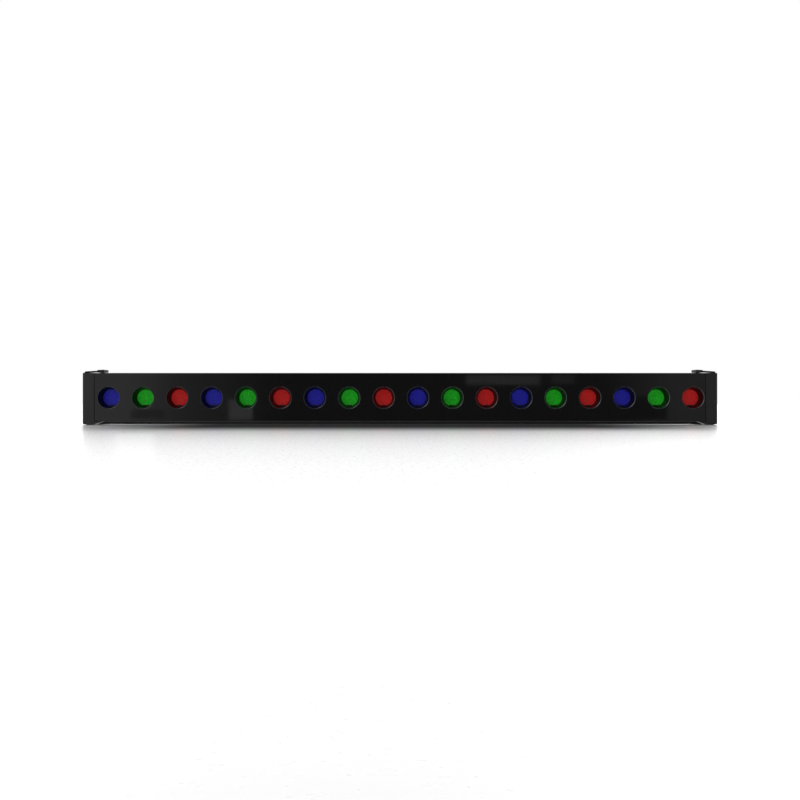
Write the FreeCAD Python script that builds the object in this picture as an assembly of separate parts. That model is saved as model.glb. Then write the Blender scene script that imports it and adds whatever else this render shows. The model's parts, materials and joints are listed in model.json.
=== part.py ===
"""One-metre LED strip batten: an aluminium bar with a gloss panel, eighteen coloured light cells in
recessed hoods, two swinging end brackets and a rear plate of sockets, display and buttons. The end
caps reach below the bar, so that it stands on the pads under them.

Frame: millimetres, +X along the bar, +Y to the rear, +Z up. The origin is at the middle of the bar's
length and depth, on the surface that its rubber pads stand on. Each function makes one sub-part,
and each sub-part is written to its own STEP file.
"""

import FreeCAD, Part
import math
import os

V = FreeCAD.Vector

# Overall size
LENGTH = 1000.0
DEPTH = 65.0
FRONT_Y = -DEPTH / 2
REAR_Y = DEPTH / 2

# Cross-section: flat front, top, rear and base, and a quarter round over the top rear corner.
# The quarter round is centred on the bracket pivot, so that the bracket feet can swing over it.
TOP_RADIUS = 41.0
PIVOT_Y = FRONT_Y + 20.0
PIVOT_Z = 41.0
TOP_Z = PIVOT_Z + TOP_RADIUS
BACK_Y = PIVOT_Y + TOP_RADIUS
BASE_Z = 5.6
CAP_BASE_Z = 0.8
FRONT_ROUND = 0.8
REAR_ROUND = 3.0
WALL = 2.0

# Slotted rail under the housing, for sliding nuts: across the bar, and its slot from below
RAIL_Y = (PIVOT_Y - 2.0, PIVOT_Y + 20.0)
RAIL_BASE_Z = 0.9
RAIL_SLOT = (8.2, 1.3)
RAIL_CHANNEL = (13.0, 2.4)

# Places along the bar, measured from the middle
HOUSING_HALF = 481.2
GASKET = 0.8
GASKET_INSET = 1.3
CAP_INNER_X = HOUSING_HALF + GASKET
CAP_OUTER_X = LENGTH / 2

# Front panel and the lips that hold it
PANEL_THICK = 3.0
PANEL_LOW_Z = 6.5
PANEL_HIGH_Z = 81.0
PANEL_PLAY = 0.1
TAPE_THICK = 0.5
LEDGE_THICK = 2.0
WINDOW_LOW_Z = 11.5
WINDOW_HIGH_Z = 76.0

# Light cells
CELL_COUNT = 18
CELL_PITCH = 54.2
CELL_SHIFT = 1.2
CELL_Z = 43.0
CELL_COLOURS = ("blue", "green", "red")
WELL_RADIUS = 17.0
WELL_CHAMFER = 0.6
HOOD_WALL = 1.3
HOOD_REAR_RADIUS = 13.6
HOOD_FLANGE_RADIUS = 18.9
HOOD_FLANGE_THICK = 0.8
LENS_RADIUS = 13.0
LENS_FLAT = 11.3
LENS_RECESS = 18.0
LENS_RIM = 3.0
LENS_REAR_RADIUS = 5.5
LENS_LENGTH = 10.0
HOLDER_WALL = 1.9
KEY_WIDTH = 8.4

# Planes inside the bar, each a distance behind the front face
PANEL_BACK_Y = FRONT_Y + PANEL_THICK
HOOD_REAR_Y = FRONT_Y + LENS_RECESS - 0.8
LENS_FACE_Y = FRONT_Y + LENS_RECESS
LED_BOARD_Y = FRONT_Y + 30.0
LED_BOARD_THICK = 1.6
SPREADER_Y = LED_BOARD_Y + LED_BOARD_THICK
SPREADER_THICK = 2.5
SPREADER_LOW_Z = 8.2
SPREADER_HIGH_Z = 76.5
GUIDE_THICK = 1.5
GUIDE_REACH = 4.0

# LED boards
BOARD_LENGTH = 300.0
BOARD_HEIGHT = 31.0
BOARD_CELLS = 6
BOARD_PITCH = BOARD_CELLS * CELL_PITCH
LINK_OFFSET = 13.2

# Cap screws run in round bosses that are part of the extrusion: (y, z) of each
BOSS_RADIUS = 3.8
BOSS_HOLE_RADIUS = 1.7
CAP_SCREW_RADIUS = 1.7
CAP_SCREW_HEAD_RADIUS = 3.8
CAP_SCREW_LENGTH = 24.0
CAP_SCREW_SINK = 0.2
BOSS_ARC_REACH = (TOP_RADIUS - WALL - BOSS_RADIUS + 0.1) / math.sqrt(2)
BOSSES = (
    (PIVOT_Y - 10.5, TOP_Z - 5.7),
    (PIVOT_Y - 10.5, BASE_Z + 5.7),
    (BACK_Y - 5.7, BASE_Z + 5.7),
    (PIVOT_Y + BOSS_ARC_REACH, PIVOT_Z + BOSS_ARC_REACH),
)

# End caps
CAP_EDGE_ROUND = 0.6
CAP_HEEL_ROUND = 3.0
CAP_POCKET_DEPTH = 2.9
POCKET_X = CAP_OUTER_X - CAP_POCKET_DEPTH
POCKET_MARGIN = 0.6
CAP_SKIN = 3.0
CAP_HOLLOW_DEPTH = 10.0
RAMP_LENGTH = 13.0
FOOT_PAD = (12.0, 14.0, 1.5)

# Swinging brackets
ARM_THICK = 2.0
ARM_WIDTH = 26.0
WASHER_THICK = 0.5
WASHER_RADIUS = 10.5
ARM_INNER_X = POCKET_X + WASHER_THICK
ARM_OUTER_X = ARM_INNER_X + ARM_THICK
FOOT_GAP = 0.8
FOOT_LENGTH = 30.2
FOOT_RISE = 1.8
FOOT_CORNER = 5.0
BEND_INNER = 0.6
FOOT_HOLE_RADIUS = 5.25
FOOT_HOLE_X = 487.6
SLEEVE_LENGTH = 10.4
SLEEVE_BELOW = 1.2
SLEEVE_ABOVE = 1.0
SLEEVE_ROUND = 0.9
SHOULDER_RADIUS = 4.0
PIVOT_PLAY = 0.05
PIVOT_THREAD_RADIUS = 3.0
PIVOT_HEAD_RADIUS = 7.0
PIVOT_HEAD_THICK = 1.15
PIVOT_HEAD_PLAY = 0.2
PIVOT_SCREW_LENGTH = 12.0
HEX_ACROSS_FLATS = 4.0

# Connector plate on the lower rear flat
SOCKET_Z = 24.5
PLATE_HALF = 122.0
PLATE_HEIGHT = 32.0
PLATE_THICK = 1.5
PLATE_Y = BACK_Y
PLATE_FACE_Y = PLATE_Y + PLATE_THICK
REAR_WINDOW_HALF = 112.0
REAR_WINDOW_HEIGHT = 27.0
REAR_WINDOW_DEPTH = 12.0
PLATE_SCREW_X = 117.5
PLATE_SCREW_RISE = 10.0
PLATE_SCREW_LENGTH = 6.0

# Three-pole round data sockets
DMX_IN_X = 98.0
DMX_OUT_X = 67.0
DATA_FLANGE = (26.0, 31.0)
DATA_FLANGE_THICK = 1.5
DATA_FACE_Y = PLATE_FACE_Y + DATA_FLANGE_THICK
DATA_BARREL_RADIUS = 11.8
DATA_BORE_RADIUS = 9.4
DATA_FLOOR_DEPTH = 17.0
DATA_BODY_DEPTH = 24.0
DATA_PIN_RADIUS = 1.2
DATA_PIN_CIRCLE = 4.45
DATA_PIN_LENGTH = 13.0
DATA_PIN_ANGLES = (0.0, 180.0, 270.0)
DATA_SCREW_X = 9.5
DATA_SCREW_RISE = 12.0
LATCH = (7.2, 2.6)
LATCH_RISE = 11.5
LATCH_PLAY = 0.15
LATCH_LENGTH = 9.5

# Mains inlet with a fuse drawer
INLET_X = -88.0
INLET_FLANGE = (36.0, 31.0)
INLET_BODY = (30.0, 26.0)
INLET_BODY_DEPTH = 22.5
INLET_CAVITY = (16.6, 23.8)
INLET_CAVITY_X = INLET_X + 5.0
INLET_FLOOR_Y = REAR_Y - 17.0
INLET_CORNER = 5.0
BLADE = (4.0, 2.0)
BLADE_LENGTH = 13.0
BLADE_SPACING = 7.0
BLADE_OFFSET = 2.0
DRAWER_X = INLET_X - 9.5
DRAWER = (7.9, 23.5)
DRAWER_PLAY = 0.15
DRAWER_DEPTH = 20.0
FUSE_RADIUS = 2.6
FUSE_LENGTH = 20.0

# Display and buttons
DISPLAY_X = 33.0
DISPLAY_WINDOW = (30.0, 14.0)
CONTROL_BOARD_Y = BACK_Y - 11.0
CONTROL_BOARD_X = (-42.0, 54.0)
CONTROL_BOARD_HEIGHT = 26.0
BOARD_THICK = 1.6
BUTTON_NAMES = ("menu_button", "down_button", "up_button", "enter_button")
BUTTON_FIRST_X = 6.0
BUTTON_PITCH = 13.0
BUTTON_RADIUS = 2.6
BUTTON_PLAY = 0.15
BUTTON_COLLAR_RADIUS = 3.4
BUTTON_PROUD = 1.7
SWITCH_SIZE = 6.0
SWITCH_HEIGHT = 3.5
BUTTON_GAP = 0.6

# Power supply and driver boards behind the heat spreader
SPREADER_BACK_Y = SPREADER_Y + SPREADER_THICK
SPACER_RADIUS = 3.0
SPACER_LENGTH = 3.9
INNER_BOARD_Y = SPREADER_BACK_Y + SPACER_LENGTH
INNER_BOARD_LENGTH = 220.0
INNER_BOARD_LOW_Z = 12.0
INNER_BOARD_HIGH_Z = 58.0
WIRE_RADIUS = 1.2
SUPPLY_X = -300.0
DRIVER_X = 300.0


# ---------------------------------------------------------------- helpers

def box(x, y, z):
    """A box from its (low, high) ranges along X, Y and Z."""
    return Part.makeBox(x[1] - x[0], y[1] - y[0], z[1] - z[0], V(x[0], y[0], z[0]))


def rod(radius, x, y, z, length, direction):
    """A cylinder that starts at (x, y, z) and runs the given length along a unit direction."""
    return Part.makeCylinder(radius, length, V(x, y, z), V(*direction))


def along_y(radius, x, z, y_from, y_to):
    """A cylinder on a line parallel to Y."""
    return rod(radius, x, y_from, z, y_to - y_from, (0, 1, 0))


def along_x(radius, y, z, x_from, x_to):
    """A cylinder on a line parallel to X."""
    return rod(radius, x_from, y, z, x_to - x_from, (1, 0, 0))


def cone_y(radius_from, radius_to, x, z, y_from, y_to):
    """A truncated cone on a line parallel to Y."""
    return Part.makeCone(radius_from, radius_to, y_to - y_from, V(x, y_from, z), V(0, 1, 0))


def cone_x(radius_from, radius_to, y, z, x_from, x_to):
    """A truncated cone on a line parallel to X."""
    return Part.makeCone(radius_from, radius_to, x_to - x_from, V(x_from, y, z), V(1, 0, 0))


def prism(points, vector):
    """A straight-sided solid: the closed polygon of (x, y, z) points, pushed along a vector."""
    corners = [V(*p) for p in points]
    wire = Part.makePolygon(corners + corners[:1])
    return Part.Face(wire).extrude(V(*vector))


def fuse(shapes):
    """One solid from several touching ones, with the seams between flat faces removed."""
    return shapes[0].multiFuse(shapes[1:]).removeSplitter()


def group(shapes):
    """Several separate solids that share one node."""
    return Part.makeCompound(shapes)


def mirrored(shape):
    """The same sub-part at the bar's other end."""
    return shape.mirror(V(0, 0, 0), V(1, 0, 0))


def rounded_plate(width, height, thick, radius, centre_x, centre_z, y):
    """A plate in the XZ plane with rounded corners, from y to y + thick."""
    plate = box(
        (centre_x - width / 2, centre_x + width / 2),
        (y, y + thick),
        (centre_z - height / 2, centre_z + height / 2),
    )
    edges = [e for e in plate.Edges if abs(e.tangentAt(e.FirstParameter).y) > 0.99]
    return plate.makeFillet(radius, edges)


def tube(points, radius):
    """A wire through the points: straight rods joined by balls of the same radius."""
    pieces = []
    for start, end in zip(points, points[1:]):
        run = V(*end) - V(*start)
        pieces.append(Part.makeCylinder(radius, run.Length, V(*start), run))
    for corner in points[1:-1]:
        pieces.append(Part.makeSphere(radius, V(*corner)))
    return pieces[0].multiFuse(pieces[1:])


def section(inset, base_z):
    """The cross-section at x = 0 as a face over the given base, moved inwards on every side."""
    front = FRONT_Y + inset
    top = TOP_Z - inset
    back = BACK_Y - inset
    base = base_z + inset
    arc = TOP_RADIUS - inset
    low_front = max(FRONT_ROUND - inset, 0.5)
    low_back = max(REAR_ROUND - inset, 0.5)
    slant = math.sqrt(0.5)
    edges = [
        Part.LineSegment(V(0, front, base + low_front), V(0, front, top)).toShape(),
        Part.LineSegment(V(0, front, top), V(0, PIVOT_Y, top)).toShape(),
        Part.Arc(
            V(0, PIVOT_Y, top),
            V(0, PIVOT_Y + arc * slant, PIVOT_Z + arc * slant),
            V(0, back, PIVOT_Z),
        ).toShape(),
        Part.LineSegment(V(0, back, PIVOT_Z), V(0, back, base + low_back)).toShape(),
        Part.Arc(
            V(0, back, base + low_back),
            V(0, back - low_back * (1 - slant), base + low_back * (1 - slant)),
            V(0, back - low_back, base),
        ).toShape(),
        Part.LineSegment(V(0, back - low_back, base), V(0, front + low_front, base)).toShape(),
        Part.Arc(
            V(0, front + low_front, base),
            V(0, front + low_front * (1 - slant), base + low_front * (1 - slant)),
            V(0, front, base + low_front),
        ).toShape(),
    ]
    return Part.Face(Part.Wire(edges))


def bar_solid(inset, x_from, x_to, base_z=BASE_Z):
    """The cross-section, inset and run from one x to another."""
    face = section(inset, base_z)
    face.translate(V(x_from, 0, 0))
    return face.extrude(V(x_to - x_from, 0, 0))


def cell_x(index):
    """Middle of a light cell along the bar, counted from the left end."""
    return (index - (CELL_COUNT - 1) / 2) * CELL_PITCH + CELL_SHIFT


def button_x(index):
    """Middle of a menu button along the bar."""
    return BUTTON_FIRST_X - index * BUTTON_PITCH


# ---------------------------------------------------------------- casing

def make_rail():
    """Rail under the housing with a T-shaped slot that opens downwards."""
    x = (-HOUSING_HALF, HOUSING_HALF)
    middle = sum(RAIL_Y) / 2
    rail = box(x, RAIL_Y, (RAIL_BASE_Z, BASE_Z + 0.1))
    slot_top = RAIL_BASE_Z + RAIL_SLOT[1]
    for width, low, high in (
        (RAIL_SLOT[0], RAIL_BASE_Z - 1, slot_top),
        (RAIL_CHANNEL[0], slot_top, slot_top + RAIL_CHANNEL[1]),
    ):
        half = width / 2
        rail = rail.cut(box((x[0] - 1, x[1] + 1), (middle - half, middle + half), (low, high)))
    return rail


def make_housing():
    """Extruded shell with an open front, panel lips, spreader guides, screw bosses and a rail."""
    x = (-HOUSING_HALF, HOUSING_HALF)
    shell = bar_solid(0, *x).cut(bar_solid(WALL, x[0] - 1, x[1] + 1))
    skin = bar_solid(0.5, *x)
    ledge_y = (PANEL_BACK_Y + TAPE_THICK, PANEL_BACK_Y + TAPE_THICK + LEDGE_THICK)
    ribs = [
        box(x, ledge_y, (WINDOW_HIGH_Z, TOP_Z)),
        box(x, ledge_y, (BASE_Z, WINDOW_LOW_Z)),
    ]
    guide_planes = (SPREADER_Y - GUIDE_THICK - 0.1, SPREADER_BACK_Y + 0.1)
    for y in guide_planes:
        ribs.append(box(x, (y, y + GUIDE_THICK), (SPREADER_HIGH_Z - GUIDE_REACH, TOP_Z)))
        ribs.append(box(x, (y, y + GUIDE_THICK), (BASE_Z, SPREADER_LOW_Z + GUIDE_REACH)))
    for y, z in BOSSES:
        ribs.append(along_x(BOSS_RADIUS, y, z, *x))
    housing = fuse([shell, make_rail()] + [rib.common(skin) for rib in ribs])
    cuts = [
        box((x[0] - 1, x[1] + 1), (FRONT_Y - 1, PANEL_BACK_Y), (PANEL_LOW_Z, PANEL_HIGH_Z)),
        box(
            (-REAR_WINDOW_HALF, REAR_WINDOW_HALF),
            (BACK_Y - REAR_WINDOW_DEPTH, BACK_Y + 1),
            (SOCKET_Z - REAR_WINDOW_HEIGHT / 2, SOCKET_Z + REAR_WINDOW_HEIGHT / 2),
        ),
    ]
    for y, z in BOSSES:
        cuts.append(along_x(BOSS_HOLE_RADIUS, y, z, x[0] - 1, x[1] + 1))
    for sx in (-1, 1):
        for sz in (-1, 1):
            z = SOCKET_Z + sz * PLATE_SCREW_RISE
            cuts.append(along_y(1.25, sx * PLATE_SCREW_X, z, BACK_Y - PLATE_SCREW_LENGTH, BACK_Y + 1))
    for cut in cuts:
        housing = housing.cut(cut)
    return housing.removeSplitter()


def make_front_panel():
    """Gloss acrylic strip with a chamfered hole over each light cell."""
    panel = box(
        (-HOUSING_HALF, HOUSING_HALF),
        (FRONT_Y, PANEL_BACK_Y),
        (PANEL_LOW_Z + PANEL_PLAY, PANEL_HIGH_Z - PANEL_PLAY),
    )
    for index in range(CELL_COUNT):
        x = cell_x(index)
        hole = along_y(WELL_RADIUS, x, CELL_Z, FRONT_Y - 1, PANEL_BACK_Y + 1)
        bevel = cone_y(
            WELL_RADIUS + 2 * WELL_CHAMFER, WELL_RADIUS, x, CELL_Z,
            FRONT_Y - WELL_CHAMFER, FRONT_Y + WELL_CHAMFER,
        )
        panel = panel.cut(hole.fuse(bevel))
    return panel


def make_panel_tape():
    """Two strips of adhesive tape between the panel and the ledges of the housing."""
    x = (-HOUSING_HALF + 1, HOUSING_HALF - 1)
    y = (PANEL_BACK_Y, PANEL_BACK_Y + TAPE_THICK)
    return group([
        box(x, y, (WINDOW_HIGH_Z + 0.5, PANEL_HIGH_Z - 1.2)),
        box(x, y, (BASE_Z + WALL + 0.1, WINDOW_LOW_Z - 0.3)),
    ])


# ---------------------------------------------------------------- light cells

def make_light_hoods():
    """Conical hoods that line the wells from the panel back to the lenses."""
    hoods = []
    for index in range(CELL_COUNT):
        x = cell_x(index)
        flange_y = PANEL_BACK_Y + HOOD_FLANGE_THICK
        flange = along_y(HOOD_FLANGE_RADIUS, x, CELL_Z, PANEL_BACK_Y, flange_y)
        cone = cone_y(
            WELL_RADIUS + HOOD_WALL, HOOD_REAR_RADIUS + HOOD_WALL, x, CELL_Z,
            PANEL_BACK_Y, HOOD_REAR_Y,
        )
        bore = cone_y(WELL_RADIUS, HOOD_REAR_RADIUS, x, CELL_Z, PANEL_BACK_Y, HOOD_REAR_Y)
        hoods.append(flange.fuse(cone).cut(bore))
    return group(hoods)


def make_lens_holders():
    """Rings that stand on the LED boards around each lens, with a key tab at the lens's flat."""
    rings = []
    for index in range(CELL_COUNT):
        x = cell_x(index)
        outer = along_y(LENS_RADIUS + HOLDER_WALL, x, CELL_Z, HOOD_REAR_Y, LED_BOARD_Y)
        inner = along_y(LENS_RADIUS + 0.1, x, CELL_Z, HOOD_REAR_Y - 1, LED_BOARD_Y + 1)
        key = box(
            (x - KEY_WIDTH / 2, x + KEY_WIDTH / 2),
            (HOOD_REAR_Y, LENS_FACE_Y + LENS_RIM / 2 - 0.1),
            (CELL_Z - LENS_RADIUS - 1.0, CELL_Z - LENS_FLAT - 0.1),
        )
        rings.append(outer.cut(inner).fuse(key))
    return group(rings)


def make_lens(x):
    """Solid lens: a flat coloured face with one flat on its rim, and a cone towards the emitter."""
    rim = along_y(LENS_RADIUS, x, CELL_Z, LENS_FACE_Y, LENS_FACE_Y + LENS_RIM)
    cone = cone_y(
        LENS_RADIUS, LENS_REAR_RADIUS, x, CELL_Z,
        LENS_FACE_Y + LENS_RIM, LENS_FACE_Y + LENS_LENGTH,
    )
    dimple = along_y(3.4, x, CELL_Z, LENS_FACE_Y + LENS_LENGTH - 3.5, LENS_FACE_Y + LENS_LENGTH + 1)
    flat = box(
        (x - LENS_RADIUS, x + LENS_RADIUS),
        (LENS_FACE_Y - 1, LENS_FACE_Y + LENS_RIM / 2),
        (CELL_Z - LENS_RADIUS - 1, CELL_Z - LENS_FLAT),
    )
    return rim.fuse(cone).cut(dimple).cut(flat)


def make_lenses(colour):
    """All lenses of one colour; the colours repeat along the bar."""
    first = CELL_COLOURS.index(colour)
    return group([make_lens(cell_x(i)) for i in range(first, CELL_COUNT, len(CELL_COLOURS))])


def make_led_emitters():
    """One emitter per cell: a square base on the board with a dome in the lens's dimple."""
    emitters = []
    for index in range(CELL_COUNT):
        x = cell_x(index)
        base = box((x - 3.5, x + 3.5), (LED_BOARD_Y - 1.4, LED_BOARD_Y), (CELL_Z - 3.5, CELL_Z + 3.5))
        dome = Part.makeSphere(2.5, V(x, LED_BOARD_Y - 1.4, CELL_Z))
        front = box((x - 3, x + 3), (LED_BOARD_Y - 5, LED_BOARD_Y - 1), (CELL_Z - 3, CELL_Z + 3))
        emitters.append(base.fuse(dome.common(front)))
    return group(emitters)


def make_led_board(number):
    """One of the three boards end to end: -1 is the left one, 0 the middle, 1 the right."""
    centre = number * BOARD_PITCH + CELL_SHIFT
    board = box(
        (centre - BOARD_LENGTH / 2, centre + BOARD_LENGTH / 2),
        (LED_BOARD_Y, LED_BOARD_Y + LED_BOARD_THICK),
        (CELL_Z - BOARD_HEIGHT / 2, CELL_Z + BOARD_HEIGHT / 2),
    )
    for x, z in board_screw_places(number):
        board = board.cut(along_y(1.7, x, z, LED_BOARD_Y - 1, SPREADER_Y + 1))
    return board


def board_screw_places(number):
    """The (x, z) of one board's screws: between the cells, near its long edges."""
    centre = number * BOARD_PITCH + CELL_SHIFT
    return [
        (centre + step * 2 * CELL_PITCH, CELL_Z + side * (BOARD_HEIGHT / 2 - 4))
        for step in (-1, 0, 1)
        for side in (-1, 1)
    ]


def make_board_screws():
    """Screws that hold the LED boards on the heat spreader."""
    screws = []
    for number in (-1, 0, 1):
        for x, z in board_screw_places(number):
            head = along_y(2.8, x, z, LED_BOARD_Y - 1.8, LED_BOARD_Y)
            shank = along_y(1.5, x, z, LED_BOARD_Y, SPREADER_BACK_Y)
            slot = box((x - 2.0, x + 2.0), (LED_BOARD_Y - 2, LED_BOARD_Y - 1.1), (z - 0.4, z + 0.4))
            screws.append(head.fuse(shank).cut(slot))
    return group(screws)


def make_board_links():
    """Plugs that join each LED board to the next."""
    links = []
    for side in (-1, 1):
        x = side * BOARD_PITCH / 2 + CELL_SHIFT
        for z in (CELL_Z - LINK_OFFSET, CELL_Z + LINK_OFFSET):
            half = (BOARD_PITCH - BOARD_LENGTH) / 2 + 4
            links.append(box((x - half, x + half), (LED_BOARD_Y - 4, LED_BOARD_Y), (z - 1.8, z + 1.8)))
    return group(links)


def make_heat_spreader():
    """Aluminium plate that slides in the housing's rails and carries every board."""
    plate = box(
        (-HOUSING_HALF + 3, HOUSING_HALF - 3),
        (SPREADER_Y, SPREADER_BACK_Y),
        (SPREADER_LOW_Z, SPREADER_HIGH_Z),
    )
    for number in (-1, 0, 1):
        for x, z in board_screw_places(number):
            plate = plate.cut(along_y(1.5, x, z, SPREADER_Y - 1, SPREADER_BACK_Y + 1))
    for x in (CELL_SHIFT - BOARD_PITCH / 2, CELL_SHIFT + BOARD_PITCH / 2):
        plate = plate.cut(rounded_plate(16, 9, SPREADER_THICK + 2, 4.4, x, 20.0, SPREADER_Y - 1))
    return plate


# ---------------------------------------------------------------- end caps

def pocket_tool():
    """Space for the right bracket's arm as it swings from upright to the rear."""
    reach = ARM_WIDTH / 2 + POCKET_MARGIN
    x = (POCKET_X, CAP_OUTER_X + 1)
    hub = along_x(reach, PIVOT_Y, PIVOT_Z, *x)
    upper = box(x, (PIVOT_Y - reach, BACK_Y + 1), (PIVOT_Z, TOP_Z + 1))
    rear = box(x, (PIVOT_Y, BACK_Y + 1), (PIVOT_Z - reach, TOP_Z + 1))
    return hub.fuse(upper).fuse(rear)


def foot_pad_places():
    """The (x, y) of the right end's two pads."""
    x = (CAP_INNER_X + CAP_OUTER_X) / 2
    return ((x, FRONT_Y + 15.0), (x, BACK_Y - 12.0))


def make_end_cap():
    """Right end cap: a cast shell with a pocket for the bracket, screw seats and a ramp below."""
    cap = bar_solid(0, CAP_INNER_X, CAP_OUTER_X, CAP_BASE_Z)
    rim = [e for e in cap.Edges if all(v.X > CAP_OUTER_X - 0.01 for v in e.Vertexes)]
    cap = cap.makeFillet(CAP_EDGE_ROUND, rim).cut(cap_heel_tool())
    hollow = bar_solid(CAP_SKIN, CAP_INNER_X - 1, CAP_INNER_X + CAP_HOLLOW_DEPTH)
    hollow = hollow.cut(along_x(9.0, PIVOT_Y, PIVOT_Z, CAP_INNER_X - 2, CAP_OUTER_X))
    for y, z in BOSSES:
        hollow = hollow.cut(along_x(5.5, y, z, CAP_INNER_X - 2, CAP_OUTER_X))
    cap = cap.cut(hollow).cut(pocket_tool())
    cap = cap.cut(along_x(PIVOT_THREAD_RADIUS, PIVOT_Y, PIVOT_Z, CAP_INNER_X - 1, CAP_OUTER_X))
    for y, z in BOSSES:
        cap = cap.cut(along_x(CAP_SCREW_RADIUS + 0.3, y, z, CAP_INNER_X - 1, CAP_OUTER_X))
        head_x = POCKET_X - CAP_SCREW_SINK
        seat_x = head_x - CAP_SCREW_HEAD_RADIUS + CAP_SCREW_RADIUS
        cap = cap.cut(cone_x(CAP_SCREW_RADIUS, CAP_SCREW_HEAD_RADIUS, y, z, seat_x, head_x))
        cap = cap.cut(along_x(CAP_SCREW_HEAD_RADIUS, y, z, head_x, CAP_OUTER_X + 1))
    for x, y in foot_pad_places():
        cap = cap.cut(foot_pad(x, y))
    return fuse([cap, make_cap_ramp()])


def cap_heel_tool():
    """What is taken off the right cap to round its lower outer edge."""
    x, z, r = CAP_OUTER_X - CAP_HEEL_ROUND, CAP_BASE_Z + CAP_HEEL_ROUND, CAP_HEEL_ROUND
    block = box((x, x + r + 1), (FRONT_Y - 1, BACK_Y + 1), (z - r - 1, z))
    return block.cut(along_y(r, x, z, FRONT_Y - 2, BACK_Y + 2))


def make_cap_ramp():
    """Wedge of the right cap that slopes up from its foot to the underside of the housing."""
    inner_x = CAP_INNER_X - RAMP_LENGTH
    ramp = prism(
        [
            (CAP_INNER_X, FRONT_Y, CAP_BASE_Z),
            (CAP_INNER_X, FRONT_Y, BASE_Z - 0.1),
            (inner_x, FRONT_Y, BASE_Z - 0.1),
        ],
        (0, BACK_Y - FRONT_Y, 0),
    )
    ramp = ramp.common(bar_solid(0, inner_x, CAP_INNER_X, CAP_BASE_Z))
    gap = 0.2
    return ramp.cut(box((inner_x - 1, CAP_INNER_X), (RAIL_Y[0] - gap, RAIL_Y[1] + gap), (0, BASE_Z)))


def foot_pad(x, y):
    """A rubber pad half sunk in the underside of a cap."""
    return box(
        (x - FOOT_PAD[0] / 2, x + FOOT_PAD[0] / 2),
        (y - FOOT_PAD[1] / 2, y + FOOT_PAD[1] / 2),
        (0, FOOT_PAD[2]),
    )


def make_foot_pads():
    """The four pads that the bar stands on."""
    right = [foot_pad(x, y) for x, y in foot_pad_places()]
    return group(right + [mirrored(pad) for pad in right])


def make_end_gaskets():
    """Flat seals between the housing and the two caps."""
    ring = bar_solid(GASKET_INSET, HOUSING_HALF, CAP_INNER_X).cut(
        bar_solid(CAP_SKIN, HOUSING_HALF - 1, CAP_INNER_X + 1)
    )
    for y, z in BOSSES:
        ring = ring.fuse(along_x(BOSS_RADIUS + 0.4, y, z, HOUSING_HALF, CAP_INNER_X))
    ring = ring.common(bar_solid(GASKET_INSET, HOUSING_HALF, CAP_INNER_X))
    for y, z in BOSSES:
        ring = ring.cut(along_x(CAP_SCREW_RADIUS + 0.3, y, z, HOUSING_HALF - 1, CAP_INNER_X + 1))
    return group([ring, mirrored(ring)])


def make_end_cap_screws():
    """Countersunk screws through the caps into the housing's bosses."""
    screws = []
    for y, z in BOSSES:
        head_x = POCKET_X - CAP_SCREW_SINK
        under_x = head_x - (CAP_SCREW_HEAD_RADIUS - CAP_SCREW_RADIUS)
        head = cone_x(CAP_SCREW_RADIUS, CAP_SCREW_HEAD_RADIUS, y, z, under_x, head_x)
        shank = along_x(CAP_SCREW_RADIUS, y, z, head_x - CAP_SCREW_LENGTH, under_x)
        slot = box((head_x - 1.0, head_x + 1), (y - 2.4, y + 2.4), (z - 0.45, z + 0.45))
        cross = box((head_x - 1.0, head_x + 1), (y - 0.45, y + 0.45), (z - 2.4, z + 2.4))
        screws.append(head.fuse(shank).cut(slot).cut(cross))
    return group(screws + [mirrored(s) for s in screws])


# ---------------------------------------------------------------- brackets

def foot_slope():
    """Rise per millimetre of the bracket foot towards the middle of the bar."""
    return FOOT_RISE / FOOT_LENGTH


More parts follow.
